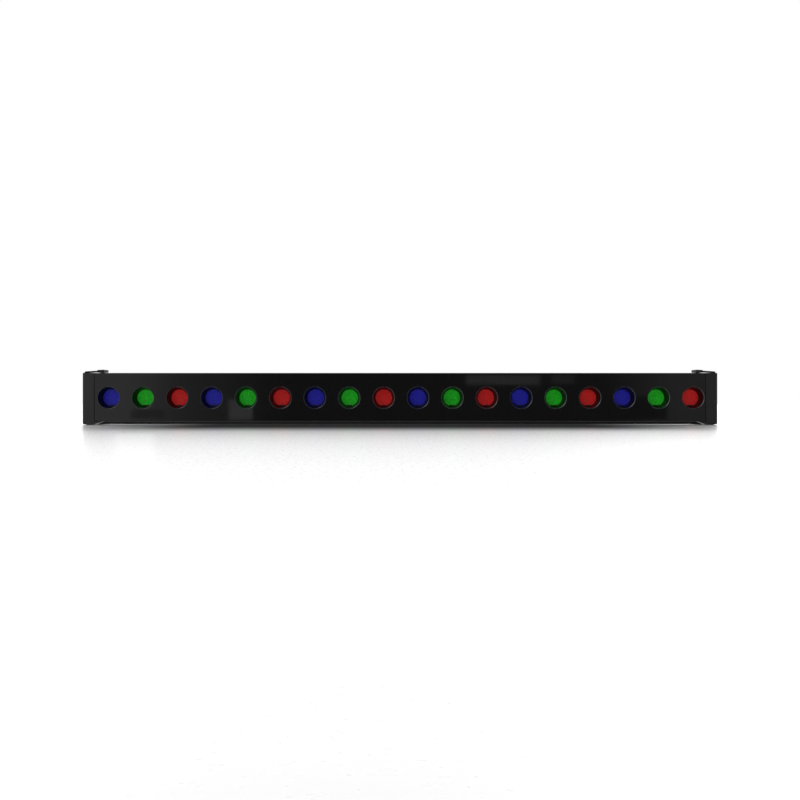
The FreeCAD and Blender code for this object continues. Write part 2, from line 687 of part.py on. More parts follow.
def make_bracket():
    """Right bracket: a flat arm from the pivot, bent over the top of the bar into a holed foot."""
    low = TOP_Z + FOOT_GAP
    tip_x = ARM_OUTER_X - FOOT_LENGTH
    inner_rise = foot_slope() * (ARM_INNER_X - tip_x)
    outer_top = low + ARM_THICK * (1 - foot_slope())
    bent = prism(
        [
            (ARM_INNER_X, PIVOT_Y - ARM_WIDTH / 2, PIVOT_Z),
            (ARM_INNER_X, PIVOT_Y - ARM_WIDTH / 2, low),
            (tip_x, PIVOT_Y - ARM_WIDTH / 2, low + inner_rise),
            (tip_x, PIVOT_Y - ARM_WIDTH / 2, low + inner_rise + ARM_THICK),
            (ARM_OUTER_X, PIVOT_Y - ARM_WIDTH / 2, outer_top),
            (ARM_OUTER_X, PIVOT_Y - ARM_WIDTH / 2, PIVOT_Z),
        ],
        (0, ARM_WIDTH, 0),
    )
    for corner_x, radius in ((ARM_INNER_X, BEND_INNER), (ARM_OUTER_X, BEND_INNER + ARM_THICK)):
        bend = [e for e in bent.Edges if edge_at(e, corner_x, low - 0.5, low + ARM_THICK + 0.5)]
        bent = bent.makeFillet(radius, bend)
    tips = [e for e in bent.Edges if tip_edge(e, tip_x)]
    bent = bent.makeFillet(FOOT_CORNER, tips)
    hub = along_x(ARM_WIDTH / 2, PIVOT_Y, PIVOT_Z, ARM_INNER_X, ARM_OUTER_X)
    bracket = bent.fuse(hub).removeSplitter()
    seat_x = CAP_OUTER_X - PIVOT_HEAD_THICK - 0.05
    bracket = bracket.cut(
        along_x(SHOULDER_RADIUS + PIVOT_PLAY, PIVOT_Y, PIVOT_Z, ARM_INNER_X - 1, ARM_OUTER_X + 1)
    )
    bracket = bracket.cut(
        along_x(PIVOT_HEAD_RADIUS + PIVOT_HEAD_PLAY, PIVOT_Y, PIVOT_Z, seat_x, ARM_OUTER_X + 1)
    )
    hole = rod(
        FOOT_HOLE_RADIUS, FOOT_HOLE_X - 10 * foot_slope(), PIVOT_Y, low - 10, 30, (foot_slope(), 0, 1)
    )
    return bracket.cut(hole)


def edge_at(edge, x, z_low, z_high):
    """True for an edge that runs along Y at the given x, between two heights."""
    return all(abs(v.X - x) < 0.01 and z_low < v.Z < z_high for v in edge.Vertexes) and (
        abs(edge.Vertexes[0].Y - edge.Vertexes[-1].Y) > 1
    )


def tip_edge(edge, x):
    """True for the two short upright edges at the foot's free end."""
    first, last = edge.Vertexes[0], edge.Vertexes[-1]
    return (
        abs(first.X - x) < 0.01 and abs(last.X - x) < 0.01
        and abs(first.Y - last.Y) < 0.01 and abs(first.Z - last.Z) > 0.5
    )


def make_bracket_sleeve():
    """Rubber sleeve with rounded edges around the right foot's free end."""
    low = TOP_Z + FOOT_GAP
    x_in = ARM_OUTER_X - FOOT_LENGTH - 0.8
    x_out = x_in + SLEEVE_LENGTH
    rise_in = foot_slope() * (ARM_INNER_X - x_in)
    rise_out = foot_slope() * (ARM_INNER_X - x_out)
    half = ARM_WIDTH / 2 + 0.9
    y = PIVOT_Y - half
    sleeve = prism(
        [
            (x_in, y, low + rise_in - SLEEVE_BELOW),
            (x_out, y, low + rise_out - SLEEVE_BELOW),
            (x_out, y, low + rise_out + ARM_THICK + SLEEVE_ABOVE),
            (x_in, y, low + rise_in + ARM_THICK + SLEEVE_ABOVE),
        ],
        (0, 2 * half, 0),
    )
    return sleeve.makeFillet(SLEEVE_ROUND, sleeve.Edges).cut(make_bracket())


def make_pivot_screws():
    """Low-head shoulder screws that the brackets turn on."""
    head_x = CAP_OUTER_X - PIVOT_HEAD_THICK
    head = along_x(PIVOT_HEAD_RADIUS, PIVOT_Y, PIVOT_Z, head_x, CAP_OUTER_X)
    shoulder = along_x(SHOULDER_RADIUS, PIVOT_Y, PIVOT_Z, POCKET_X, head_x)
    thread = along_x(PIVOT_THREAD_RADIUS, PIVOT_Y, PIVOT_Z, POCKET_X - PIVOT_SCREW_LENGTH, POCKET_X)
    corner = HEX_ACROSS_FLATS / math.sqrt(3)
    socket = prism(
        [
            (
                CAP_OUTER_X - 2.2,
                PIVOT_Y + corner * math.cos(math.radians(60 * step)),
                PIVOT_Z + corner * math.sin(math.radians(60 * step)),
            )
            for step in range(6)
        ],
        (3, 0, 0),
    )
    screw = head.fuse(shoulder).fuse(thread).cut(socket)
    return group([screw, mirrored(screw)])


def make_pivot_washers():
    """Nylon friction washers between the caps and the arms."""
    disc = along_x(WASHER_RADIUS, PIVOT_Y, PIVOT_Z, POCKET_X, ARM_INNER_X)
    washer = disc.cut(along_x(SHOULDER_RADIUS + 0.1, PIVOT_Y, PIVOT_Z, POCKET_X - 1, CAP_OUTER_X))
    return group([washer, mirrored(washer)])


# ---------------------------------------------------------------- connector plate

def make_connector_plate():
    """Steel plate over the rear window, cut out for the sockets, display and buttons."""
    plate = rounded_plate(2 * PLATE_HALF, PLATE_HEIGHT, PLATE_THICK, 3.0, 0, SOCKET_Z, PLATE_Y)
    y = (PLATE_Y - 1, PLATE_FACE_Y + 1)
    cuts = [along_y(DATA_BARREL_RADIUS + 0.1, x, SOCKET_Z, *y) for x in (DMX_IN_X, DMX_OUT_X)]
    cuts.append(latch_guide(0.1))
    cuts.append(inlet_block(INLET_BODY, 0.1, y))
    cuts.append(centred_box(DISPLAY_X, SOCKET_Z, DISPLAY_WINDOW, y))
    for index in range(len(BUTTON_NAMES)):
        cuts.append(along_y(BUTTON_RADIUS + BUTTON_PLAY, button_x(index), SOCKET_Z, *y))
    for sx in (-1, 1):
        for sz in (-1, 1):
            cuts.append(along_y(1.5, sx * PLATE_SCREW_X, SOCKET_Z + sz * PLATE_SCREW_RISE, *y))
    for x in (DMX_IN_X, DMX_OUT_X):
        for side in (-1, 1):
            cuts.append(along_y(1.25, x - side * DATA_SCREW_X, SOCKET_Z + side * DATA_SCREW_RISE, *y))
    for cut in cuts:
        plate = plate.cut(cut)
    return plate


def centred_box(x, z, size, y):
    """A box about (x, z) with a (width, height) in the plate's plane and a (low, high) in y."""
    return box((x - size[0] / 2, x + size[0] / 2), y, (z - size[1] / 2, z + size[1] / 2))


def make_connector_plate_screws():
    """Pan-head screws at the plate's corners."""
    screws = []
    for sx in (-1, 1):
        for sz in (-1, 1):
            z = SOCKET_Z + sz * PLATE_SCREW_RISE
            screws.append(pan_screw(sx * PLATE_SCREW_X, z, PLATE_FACE_Y, 1.25, PLATE_SCREW_LENGTH))
    return group(screws)


def pan_screw(x, z, seat_y, radius, length):
    """A cross-head screw that enters the bar from the rear."""
    head = along_y(2 * radius, x, z, seat_y, seat_y + 0.8 * radius)
    shank = along_y(radius, x, z, seat_y - length, seat_y)
    top = seat_y + 0.8 * radius
    slot = box((x - 1.3 * radius, x + 1.3 * radius), (top - 0.5, top + 1), (z - 0.3, z + 0.3))
    cross = box((x - 0.3, x + 0.3), (top - 0.5, top + 1), (z - 1.3 * radius, z + 1.3 * radius))
    return head.fuse(shank).cut(slot).cut(cross)


def data_shell(x):
    """Metal shell of a round data socket: square flange, barrel and bore."""
    flange = rounded_plate(
        DATA_FLANGE[0], DATA_FLANGE[1], DATA_FLANGE_THICK, 2.5, x, SOCKET_Z, PLATE_FACE_Y
    )
    barrel = along_y(DATA_BARREL_RADIUS, x, SOCKET_Z, DATA_FACE_Y - DATA_BODY_DEPTH, PLATE_FACE_Y)
    bore = along_y(
        DATA_BORE_RADIUS, x, SOCKET_Z, DATA_FACE_Y - DATA_BODY_DEPTH - 1, DATA_FACE_Y + 1
    )
    shell = flange.fuse(barrel).cut(bore)
    for side in (-1, 1):
        place = (x - side * DATA_SCREW_X, SOCKET_Z + side * DATA_SCREW_RISE)
        shell = shell.cut(along_y(1.25, place[0], place[1], PLATE_FACE_Y - 1, DATA_FACE_Y + 1))
    return shell


def make_dmx_in_shell():
    """Shell of the socket that takes the incoming data plug."""
    return data_shell(DMX_IN_X)


def make_dmx_in_insert():
    """Insulating floor of the incoming socket, drilled for its pins."""
    floor_y = DATA_FACE_Y - DATA_FLOOR_DEPTH
    insert = along_y(DATA_BORE_RADIUS, DMX_IN_X, SOCKET_Z, DATA_FACE_Y - DATA_BODY_DEPTH, floor_y)
    for x, z in data_pin_places(DMX_IN_X):
        insert = insert.cut(along_y(DATA_PIN_RADIUS, x, z, DATA_FACE_Y - DATA_BODY_DEPTH - 1, floor_y + 1))
    return insert


def data_pin_places(x):
    """The (x, z) of a data socket's three contacts."""
    return [
        (
            x + DATA_PIN_CIRCLE * math.cos(math.radians(angle)),
            SOCKET_Z + DATA_PIN_CIRCLE * math.sin(math.radians(angle)),
        )
        for angle in DATA_PIN_ANGLES
    ]


def make_dmx_in_pins():
    """Three round pins of the incoming socket, with solder tails behind."""
    floor_y = DATA_FACE_Y - DATA_FLOOR_DEPTH
    pins = []
    for x, z in data_pin_places(DMX_IN_X):
        tail_y = DATA_FACE_Y - DATA_BODY_DEPTH - 2
        shank = along_y(DATA_PIN_RADIUS, x, z, tail_y, floor_y + DATA_PIN_LENGTH - 0.6)
        tip_y = floor_y + DATA_PIN_LENGTH
        tip = cone_y(DATA_PIN_RADIUS, DATA_PIN_RADIUS - 0.6, x, z, tip_y - 0.6, tip_y)
        pins.append(shank.fuse(tip))
    return group(pins)


def latch_guide(grow=0.0):
    """Block on top of the outgoing socket that guides the latch."""
    return box(
        (DMX_OUT_X - 5.5 - grow, DMX_OUT_X + 5.5 + grow),
        (PLATE_FACE_Y - LATCH_LENGTH, PLATE_FACE_Y),
        (SOCKET_Z + DATA_BORE_RADIUS, SOCKET_Z + 13.2 + grow),
    )


def latch_box(play, y_from, y_to):
    """The latch's rectangle, grown by the play, between two planes."""
    size = (LATCH[0] + 2 * play, LATCH[1] + 2 * play)
    return centred_box(DMX_OUT_X, SOCKET_Z + LATCH_RISE, size, (y_from, y_to))


def make_dmx_out_shell():
    """Shell of the outgoing data socket, with a slot for its release latch."""
    bore = along_y(DATA_BORE_RADIUS, DMX_OUT_X, SOCKET_Z, PLATE_Y - 20, DATA_FACE_Y + 1)
    shell = data_shell(DMX_OUT_X).fuse(latch_guide().cut(bore))
    return shell.cut(latch_box(LATCH_PLAY, REAR_Y - LATCH_LENGTH - 1.2, REAR_Y + 1))


def make_dmx_out_insert():
    """Core of the outgoing socket: a plug of insulator with three contact holes."""
    back_y = DATA_FACE_Y - DATA_BODY_DEPTH
    floor = along_y(DATA_BORE_RADIUS, DMX_OUT_X, SOCKET_Z, back_y, back_y + 5)
    core = along_y(DATA_BORE_RADIUS - 2.1, DMX_OUT_X, SOCKET_Z, back_y, DATA_FACE_Y - 0.8)
    insert = floor.fuse(core)
    for x, z in data_pin_places(DMX_OUT_X):
        insert = insert.cut(along_y(DATA_PIN_RADIUS + 0.5, x, z, back_y - 1, DATA_FACE_Y + 1))
    return insert


def make_dmx_out_contacts():
    """Sleeves inside the outgoing socket's contact holes."""
    sleeves = []
    for x, z in data_pin_places(DMX_OUT_X):
        back_y = DATA_FACE_Y - DATA_BODY_DEPTH - 2
        sleeve = along_y(DATA_PIN_RADIUS + 0.5, x, z, back_y, DATA_FACE_Y - 3)
        sleeves.append(sleeve.cut(along_y(DATA_PIN_RADIUS + 0.1, x, z, back_y + 4, DATA_FACE_Y)))
    return group(sleeves)


def make_dmx_out_latch():
    """Push latch that releases a plug from the outgoing socket."""
    latch = latch_box(0, REAR_Y - LATCH_LENGTH, REAR_Y)
    edges = [e for e in latch.Edges if all(v.Y > REAR_Y - 0.01 for v in e.Vertexes)]
    return latch.makeFillet(0.4, edges)


def make_socket_screws():
    """Two screws in the flange of each data socket."""
    screws = []
    for x in (DMX_IN_X, DMX_OUT_X):
        for side in (-1, 1):
            place = (x - side * DATA_SCREW_X, SOCKET_Z + side * DATA_SCREW_RISE)
            screws.append(pan_screw(place[0], place[1], DATA_FACE_Y, 1.25, 5))
    return group(screws)


def inlet_block(size, grow, y):
    """A box about the middle of the mains inlet."""
    return centred_box(INLET_X, SOCKET_Z, (size[0] + 2 * grow, size[1] + 2 * grow), y)


def inlet_cavity(y):
    """The plug's space: a rectangle with its two outer corners cut off."""
    x_low = INLET_CAVITY_X - INLET_CAVITY[0] / 2
    x_high = INLET_CAVITY_X + INLET_CAVITY[0] / 2
    z_low = SOCKET_Z - INLET_CAVITY[1] / 2
    z_high = SOCKET_Z + INLET_CAVITY[1] / 2
    return prism(
        [
            (x_low, y[0], z_low),
            (x_high - INLET_CORNER, y[0], z_low),
            (x_high, y[0], z_low + INLET_CORNER),
            (x_high, y[0], z_high - INLET_CORNER),
            (x_high - INLET_CORNER, y[0], z_high),
            (x_low, y[0], z_high),
        ],
        (0, y[1] - y[0], 0),
    )


def make_power_inlet_body():
    """Moulded body of the mains inlet, with the plug's cavity and the fuse drawer's shaft."""
    body_y = (PLATE_FACE_Y - INLET_BODY_DEPTH, PLATE_FACE_Y)
    flange = rounded_plate(
        INLET_FLANGE[0], INLET_FLANGE[1], REAR_Y - PLATE_FACE_Y, 2.0, INLET_X, SOCKET_Z, PLATE_FACE_Y
    )
    body = inlet_block(INLET_BODY, 0, body_y).fuse(flange)
    body = body.cut(inlet_cavity((INLET_FLOOR_Y, REAR_Y + 1)))
    shaft = (DRAWER[0] + 2 * DRAWER_PLAY, DRAWER[1] + 2 * DRAWER_PLAY)
    body = body.cut(
        centred_box(DRAWER_X, SOCKET_Z, shaft, (REAR_Y - DRAWER_DEPTH - DRAWER_PLAY, REAR_Y + 1))
    )
    for x, z in blade_places():
        body = body.cut(centred_box(x, z, BLADE, (body_y[0] - 1, INLET_FLOOR_Y + 1)))
    return body


def blade_places():
    """The (x, z) of the line, earth and neutral blades."""
    return (
        (INLET_CAVITY_X - BLADE_OFFSET, SOCKET_Z + BLADE_SPACING),
        (INLET_CAVITY_X + BLADE_OFFSET, SOCKET_Z),
        (INLET_CAVITY_X - BLADE_OFFSET, SOCKET_Z - BLADE_SPACING),
    )


def make_power_inlet_blades():
    """Three flat blades, with tails behind the body for the wires."""
    tail_y = PLATE_FACE_Y - INLET_BODY_DEPTH - 3.5
    return group([
        centred_box(x, z, BLADE, (tail_y, INLET_FLOOR_Y + BLADE_LENGTH)) for x, z in blade_places()
    ])


def make_fuse_drawer():
    """Tray that slides out of the inlet with the fuse in it."""
    tray = centred_box(DRAWER_X, SOCKET_Z, DRAWER, (REAR_Y - DRAWER_DEPTH, REAR_Y))
    fuse_y = REAR_Y - DRAWER_DEPTH + 6
    bed_length = FUSE_LENGTH + 0.4
    bed = rod(FUSE_RADIUS + 0.1, DRAWER_X, fuse_y, SOCKET_Z - bed_length / 2, bed_length, (0, 0, 1))
    mouth = box(
        (DRAWER_X, DRAWER_X + DRAWER[0]),
        (fuse_y - FUSE_RADIUS - 0.1, fuse_y + FUSE_RADIUS + 0.1),
        (SOCKET_Z - bed_length / 2, SOCKET_Z + bed_length / 2),
    )
    grip = box((DRAWER_X - 3, DRAWER_X + 3), (REAR_Y - 1.2, REAR_Y + 1), (SOCKET_Z + 7.5, SOCKET_Z + 9))
    return tray.cut(bed).cut(mouth).cut(grip)


def make_fuse():
    """Cartridge fuse: a glass tube between two metal ends."""
    y = REAR_Y - DRAWER_DEPTH + 6
    low = SOCKET_Z - FUSE_LENGTH / 2
    ends = [rod(FUSE_RADIUS, DRAWER_X, y, z, 5, (0, 0, 1)) for z in (low, low + FUSE_LENGTH - 5)]
    tube_part = rod(FUSE_RADIUS - 0.2, DRAWER_X, y, low, FUSE_LENGTH, (0, 0, 1))
    return fuse([tube_part] + ends)


# ---------------------------------------------------------------- display and buttons

def make_display_window():
    """Smoked pane set in the plate in front of the display."""
    return centred_box(DISPLAY_X, SOCKET_Z, DISPLAY_WINDOW, (PLATE_Y, PLATE_FACE_Y + 0.2))


def make_display_module():
    """Four-digit display on the control board."""
    size = (DISPLAY_WINDOW[0] - 2, DISPLAY_WINDOW[1] - 1.4)
    return centred_box(DISPLAY_X, SOCKET_Z, size, (CONTROL_BOARD_Y + BOARD_THICK, PLATE_Y - 0.4))


def make_control_board():
    """Board that carries the display and the four switches."""
    z = (SOCKET_Z - CONTROL_BOARD_HEIGHT / 2, SOCKET_Z + CONTROL_BOARD_HEIGHT / 2)
    return box(CONTROL_BOARD_X, (CONTROL_BOARD_Y, CONTROL_BOARD_Y + BOARD_THICK), z)


def make_control_spacers():
    """Posts between the control board and the plate."""
    y = (CONTROL_BOARD_Y + BOARD_THICK, PLATE_Y)
    rise = CONTROL_BOARD_HEIGHT / 2 - 3
    return group([
        along_y(2.2, x, SOCKET_Z + side * rise, *y)
        for x in (CONTROL_BOARD_X[0] + 3, CONTROL_BOARD_X[1] - 3)
        for side in (-1, 1)
    ])


def make_button_switches():
    """Tactile switches under the buttons."""
    y = CONTROL_BOARD_Y + BOARD_THICK
    size = (SWITCH_SIZE, SWITCH_SIZE)
    return group([
        centred_box(button_x(i), SOCKET_Z, size, (y, y + SWITCH_HEIGHT)) for i in range(len(BUTTON_NAMES))
    ])


def make_button(index):
    """A push button: a round stem through the plate, with a collar behind that holds it in."""
    x = button_x(index)
    tail_y = CONTROL_BOARD_Y + BOARD_THICK + SWITCH_HEIGHT + BUTTON_GAP
    stem = along_y(BUTTON_RADIUS, x, SOCKET_Z, tail_y, PLATE_FACE_Y + BUTTON_PROUD)
    face = [e for e in stem.Edges if all(v.Y > PLATE_FACE_Y + BUTTON_PROUD - 0.01 for v in e.Vertexes)]
    stem = stem.makeFillet(0.5, [e for e in face if len(e.Vertexes) == 1])
    return stem.fuse(along_y(BUTTON_COLLAR_RADIUS, x, SOCKET_Z, PLATE_Y - 0.9, PLATE_Y - 0.1))


# ---------------------------------------------------------------- supply and driver

def inner_board(x):
    """A board behind the heat spreader."""
    board = box(
        (x - INNER_BOARD_LENGTH / 2, x + INNER_BOARD_LENGTH / 2),
        (INNER_BOARD_Y, INNER_BOARD_Y + BOARD_THICK),
        (INNER_BOARD_LOW_Z, INNER_BOARD_HIGH_Z),
    )
    return board


def make_board_spacers():
    """Posts that hold the supply and driver boards off the heat spreader."""
    posts = []
    for centre in (SUPPLY_X, DRIVER_X):
        for x in (centre - INNER_BOARD_LENGTH / 2 + 6, centre + INNER_BOARD_LENGTH / 2 - 6):
            for z in (INNER_BOARD_LOW_Z + 5, INNER_BOARD_HIGH_Z - 5):
                posts.append(along_y(SPACER_RADIUS, x, z, SPREADER_BACK_Y, INNER_BOARD_Y))
    return group(posts)


def on_board(x, z, size):
    """A component on an inner board: (width, height) in the board's plane and how far it stands off."""
    y = INNER_BOARD_Y + BOARD_THICK
    return centred_box(x, z, size[:2], (y, y + size[2]))


def can_on_board(x, z, radius, height):
    """A round capacitor on an inner board."""
    y = INNER_BOARD_Y + BOARD_THICK
    return along_y(radius, x, z, y, y + height)


def make_supply_parts():
    """Transformer, chokes, capacitors, heat sink and terminals of the power supply."""
    parts = [
        on_board(SUPPLY_X + 8, 33, (34, 28, 13)),
        on_board(SUPPLY_X - 62, 36, (18, 16, 12)),
        on_board(SUPPLY_X - 34, 44, (3, 22, 12)),
        on_board(SUPPLY_X + 44, 44, (3, 22, 12)),
        on_board(SUPPLY_X + 96, 28, (14, 24, 10)),
        on_board(SUPPLY_X - 96, 34, (14, 30, 10)),
        can_on_board(SUPPLY_X - 48, 22, 7, 13),
        can_on_board(SUPPLY_X - 26, 22, 6, 13),
    ]
    for step in range(3):
        parts.append(can_on_board(SUPPLY_X + 56 + 13 * step, 22, 5, 12))
    return group(parts)


def make_driver_parts():
    """Processor, power chokes and drivers of the dimming board."""
    parts = [on_board(DRIVER_X, 34, (14, 14, 1.8)), on_board(DRIVER_X - 98, 34, (10, 26, 9))]
    for step in range(9):
        x = DRIVER_X - 80 + 20 * step
        parts.append(on_board(x, 50, (10, 10, 5)))
        parts.append(on_board(x, 18, (6, 5, 1.8)))
    return group(parts)


# ---------------------------------------------------------------- wiring

def make_mains_wires():
    """Line, earth and neutral wires from the inlet to the supply's terminals."""
    wires = []
    run_y = SPREADER_BACK_Y + WIRE_RADIUS
    end_x = SUPPLY_X + INNER_BOARD_LENGTH / 2 + 3
    for order, (x, z) in enumerate(blade_places()):
        low = 20.0 + 6 * order
        route = [
            (x + 2, run_y, z),
            (x - 12, run_y, z),
            (end_x + 20, run_y, low),
            (end_x, run_y + 7, low),
            (end_x - 8, run_y + 9, low),
        ]
        wires.append(tube(route, WIRE_RADIUS))
    return group(wires)


def make_supply_leads():
    """Two leads from the supply past the sockets to the driver board."""
    start_x = SUPPLY_X + INNER_BOARD_LENGTH / 2
    end_x = DRIVER_X - INNER_BOARD_LENGTH / 2
    y = INNER_BOARD_Y + 4.5
    stops = ((start_x - 8, 0), (start_x + 30, 8), (end_x - 30, 8), (end_x + 3, 0))
    return group([tube([(x, y, z + rise) for x, rise in stops], 1.3) for z in (42.0, 47.0)])


def make_ribbon_cable():
    """Flat cable from the control board to the driver board."""
    z = (SOCKET_Z - 6, SOCKET_Z + 6)
    y = CONTROL_BOARD_Y
    run_y = SPREADER_BACK_Y + 0.4
    end_x = DRIVER_X - INNER_BOARD_LENGTH / 2 - 2
    low_x = CONTROL_BOARD_X[1] - 12
    return fuse([
        box((low_x - 1, low_x), (run_y, y), z),
        box((low_x - 1, end_x), (run_y, run_y + 1), z),
        box((end_x - 1, end_x), (run_y, INNER_BOARD_Y + 6), z),
        box((end_x - 1, end_x + 9), (INNER_BOARD_Y + 5, INNER_BOARD_Y + 6), z),
    ])


def make_earth_lug():
    """Ring lug and screw that bond the earth wire to the spreader."""
    x = -150.0
    z = 50.0
    ring = along_y(4.5, x, z, SPREADER_BACK_Y, SPREADER_BACK_Y + 0.8)
    tongue = box((x, x + 12), (SPREADER_BACK_Y, SPREADER_BACK_Y + 0.8), (z - 1.5, z + 1.5))
    head = along_y(3.2, x, z, SPREADER_BACK_Y + 0.8, SPREADER_BACK_Y + 3.2)
    return fuse([ring, tongue, head])


# ---------------------------------------------------------------- all sub-parts

def all_parts():
    """Every node's name with its shape."""
    end_cap = make_end_cap()
    bracket = make_bracket()
    bracket_sleeve = make_bracket_sleeve()
    parts = {
        "housing": make_housing(),
        "front_panel": make_front_panel(),
        "panel_tape": make_panel_tape(),
        "light_hoods": make_light_hoods(),
        "lens_holders": make_lens_holders(),
        "led_emitters": make_led_emitters(),
        "led_board_left": make_led_board(-1),
        "led_board_middle": make_led_board(0),
        "led_board_right": make_led_board(1),
        "board_links": make_board_links(),
        "board_screws": make_board_screws(),
        "heat_spreader": make_heat_spreader(),
        "end_cap_left": mirrored(end_cap),
        "end_cap_right": end_cap,
        "end_gaskets": make_end_gaskets(),
        "end_cap_screws": make_end_cap_screws(),
        "foot_pads": make_foot_pads(),
        "bracket_left": mirrored(bracket),
        "bracket_right": bracket,
        "bracket_sleeve_left": mirrored(bracket_sleeve),
        "bracket_sleeve_right": bracket_sleeve,
        "pivot_screws": make_pivot_screws(),
        "pivot_washers": make_pivot_washers(),
        "connector_plate": make_connector_plate(),
        "connector_plate_screws": make_connector_plate_screws(),
        "dmx_in_shell": make_dmx_in_shell(),
        "dmx_in_insert": make_dmx_in_insert(),
        "dmx_in_pins": make_dmx_in_pins(),
        "dmx_out_shell": make_dmx_out_shell(),
        "dmx_out_insert": make_dmx_out_insert(),
        "dmx_out_contacts": make_dmx_out_contacts(),
        "dmx_out_latch": make_dmx_out_latch(),
        "socket_screws": make_socket_screws(),
        "power_inlet_body": make_power_inlet_body(),
        "power_inlet_blades": make_power_inlet_blades(),
        "fuse_drawer": make_fuse_drawer(),
        "fuse": make_fuse(),
        "display_window": make_display_window(),
        "display_module": make_display_module(),
        "control_board": make_control_board(),
        "control_spacers": make_control_spacers(),
        "button_switches": make_button_switches(),
        "power_supply_board": inner_board(SUPPLY_X),
        "power_supply_parts": make_supply_parts(),
        "driver_board": inner_board(DRIVER_X),
        "driver_parts": make_driver_parts(),
        "board_spacers": make_board_spacers(),
        "mains_wires": make_mains_wires(),
        "supply_leads": make_supply_leads(),
        "ribbon_cable": make_ribbon_cable(),
        "earth_lug": make_earth_lug(),
    }
    for colour in CELL_COLOURS:
        parts[colour + "_lenses"] = make_lenses(colour)
    for index, name in enumerate(BUTTON_NAMES):
        parts[name] = make_button(index)
    return parts


def main():
    os.makedirs("parts", exist_ok=True)
    for name, shape in all_parts().items():
        shape.exportStep("parts/" + name + ".step")
        bounds = shape.BoundBox
        state = "" if shape.isValid() else " NOT VALID"
        print(
            f"{name}: {len(shape.Solids)} solids, {shape.Volume / 1000:.2f} cm3, "
            f"y {bounds.YMin:.2f}..{bounds.YMax:.2f}, z {bounds.ZMin:.2f}..{bounds.ZMax:.2f}{state}"
        )


main()
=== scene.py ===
"""Looks of a one-metre LED strip batten: surfaces, finishes, floor, light and camera around its frame.

Every length in the frame is in metres, with +X along the bar, +Y to the rear and +Z up. The script is
laid out as a Blender add-on: the properties hold the sizes and colours, each operator makes one group
of pieces, and main() runs them in order.
"""

import json
import math

import bmesh
import bpy
import numpy as np
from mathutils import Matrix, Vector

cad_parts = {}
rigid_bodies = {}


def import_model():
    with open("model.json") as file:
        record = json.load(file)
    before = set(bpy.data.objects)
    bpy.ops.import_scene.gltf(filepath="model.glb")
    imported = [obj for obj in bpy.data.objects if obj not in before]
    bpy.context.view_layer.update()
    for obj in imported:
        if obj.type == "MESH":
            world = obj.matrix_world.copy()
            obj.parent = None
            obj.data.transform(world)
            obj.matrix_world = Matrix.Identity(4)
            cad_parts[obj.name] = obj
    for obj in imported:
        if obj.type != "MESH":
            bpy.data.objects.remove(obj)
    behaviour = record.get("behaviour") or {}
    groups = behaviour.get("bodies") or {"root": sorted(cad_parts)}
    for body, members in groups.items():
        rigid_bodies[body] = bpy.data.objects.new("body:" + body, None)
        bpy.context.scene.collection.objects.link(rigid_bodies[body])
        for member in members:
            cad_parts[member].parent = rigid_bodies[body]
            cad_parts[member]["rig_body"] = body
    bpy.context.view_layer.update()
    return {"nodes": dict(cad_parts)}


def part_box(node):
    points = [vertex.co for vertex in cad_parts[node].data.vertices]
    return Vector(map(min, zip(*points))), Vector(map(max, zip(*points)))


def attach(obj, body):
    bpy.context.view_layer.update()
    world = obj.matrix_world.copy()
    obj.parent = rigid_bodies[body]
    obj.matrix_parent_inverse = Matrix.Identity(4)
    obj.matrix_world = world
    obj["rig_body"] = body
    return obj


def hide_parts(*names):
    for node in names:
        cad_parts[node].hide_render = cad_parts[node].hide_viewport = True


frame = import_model()

bl_info = {
    "name": "LED strip batten",
    "version": (1, 0, 0),
    "blender": (4, 5, 0),
    "location": "View3D > Sidebar > Batten",
    "description": "Builds the visible surfaces, finishes and stage of a one-metre LED strip batten",
    "category": "Object",
}

MM = 0.001
NODES = frame["nodes"]
COLOUR_ORDER = ("blue", "green", "red")
CELL_COUNT = 18
BUTTONS = ("menu_button", "down_button", "up_button", "enter_button")

FRONT_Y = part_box("front_panel")[0].y
BLUE_LOW, BLUE_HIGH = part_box("blue_lenses")
LENS_RADIUS = (BLUE_HIGH.z - BLUE_LOW.z) / 2
CELL_Z = (BLUE_HIGH.z + BLUE_LOW.z) / 2
FIRST_CELL_X = BLUE_LOW.x + LENS_RADIUS
LAST_CELL_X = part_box("red_lenses")[1].x - LENS_RADIUS
CELL_PITCH = (LAST_CELL_X - FIRST_CELL_X) / (CELL_COUNT - 1)
CELL_X = FIRST_CELL_X + CELL_PITCH * np.arange(CELL_COUNT)
HOOD_MOUTH = 13.6 * MM

LABEL_MIDDLE = (215.0 * MM, 24.5 * MM)
LABEL_SIZE = (62.0 * MM, 26.0 * MM)
LABEL_CORNER = 1.5 * MM

CAMERA_DISTANCE = 1.6
CAMERA_HEIGHT = 39.4 * MM
CAMERA_LENS = 45.7
CARD_DISTANCE = 0.4


def linear(hex_colour):
    """An sRGB hex colour as linear red, green and blue."""
    parts = [int(hex_colour[i : i + 2], 16) / 255 for i in (1, 3, 5)]
    return tuple(c / 12.92 if c <= 0.04045 else ((c + 0.055) / 1.055) ** 2.4 for c in parts)


# ------------------------------------------------------------------ properties


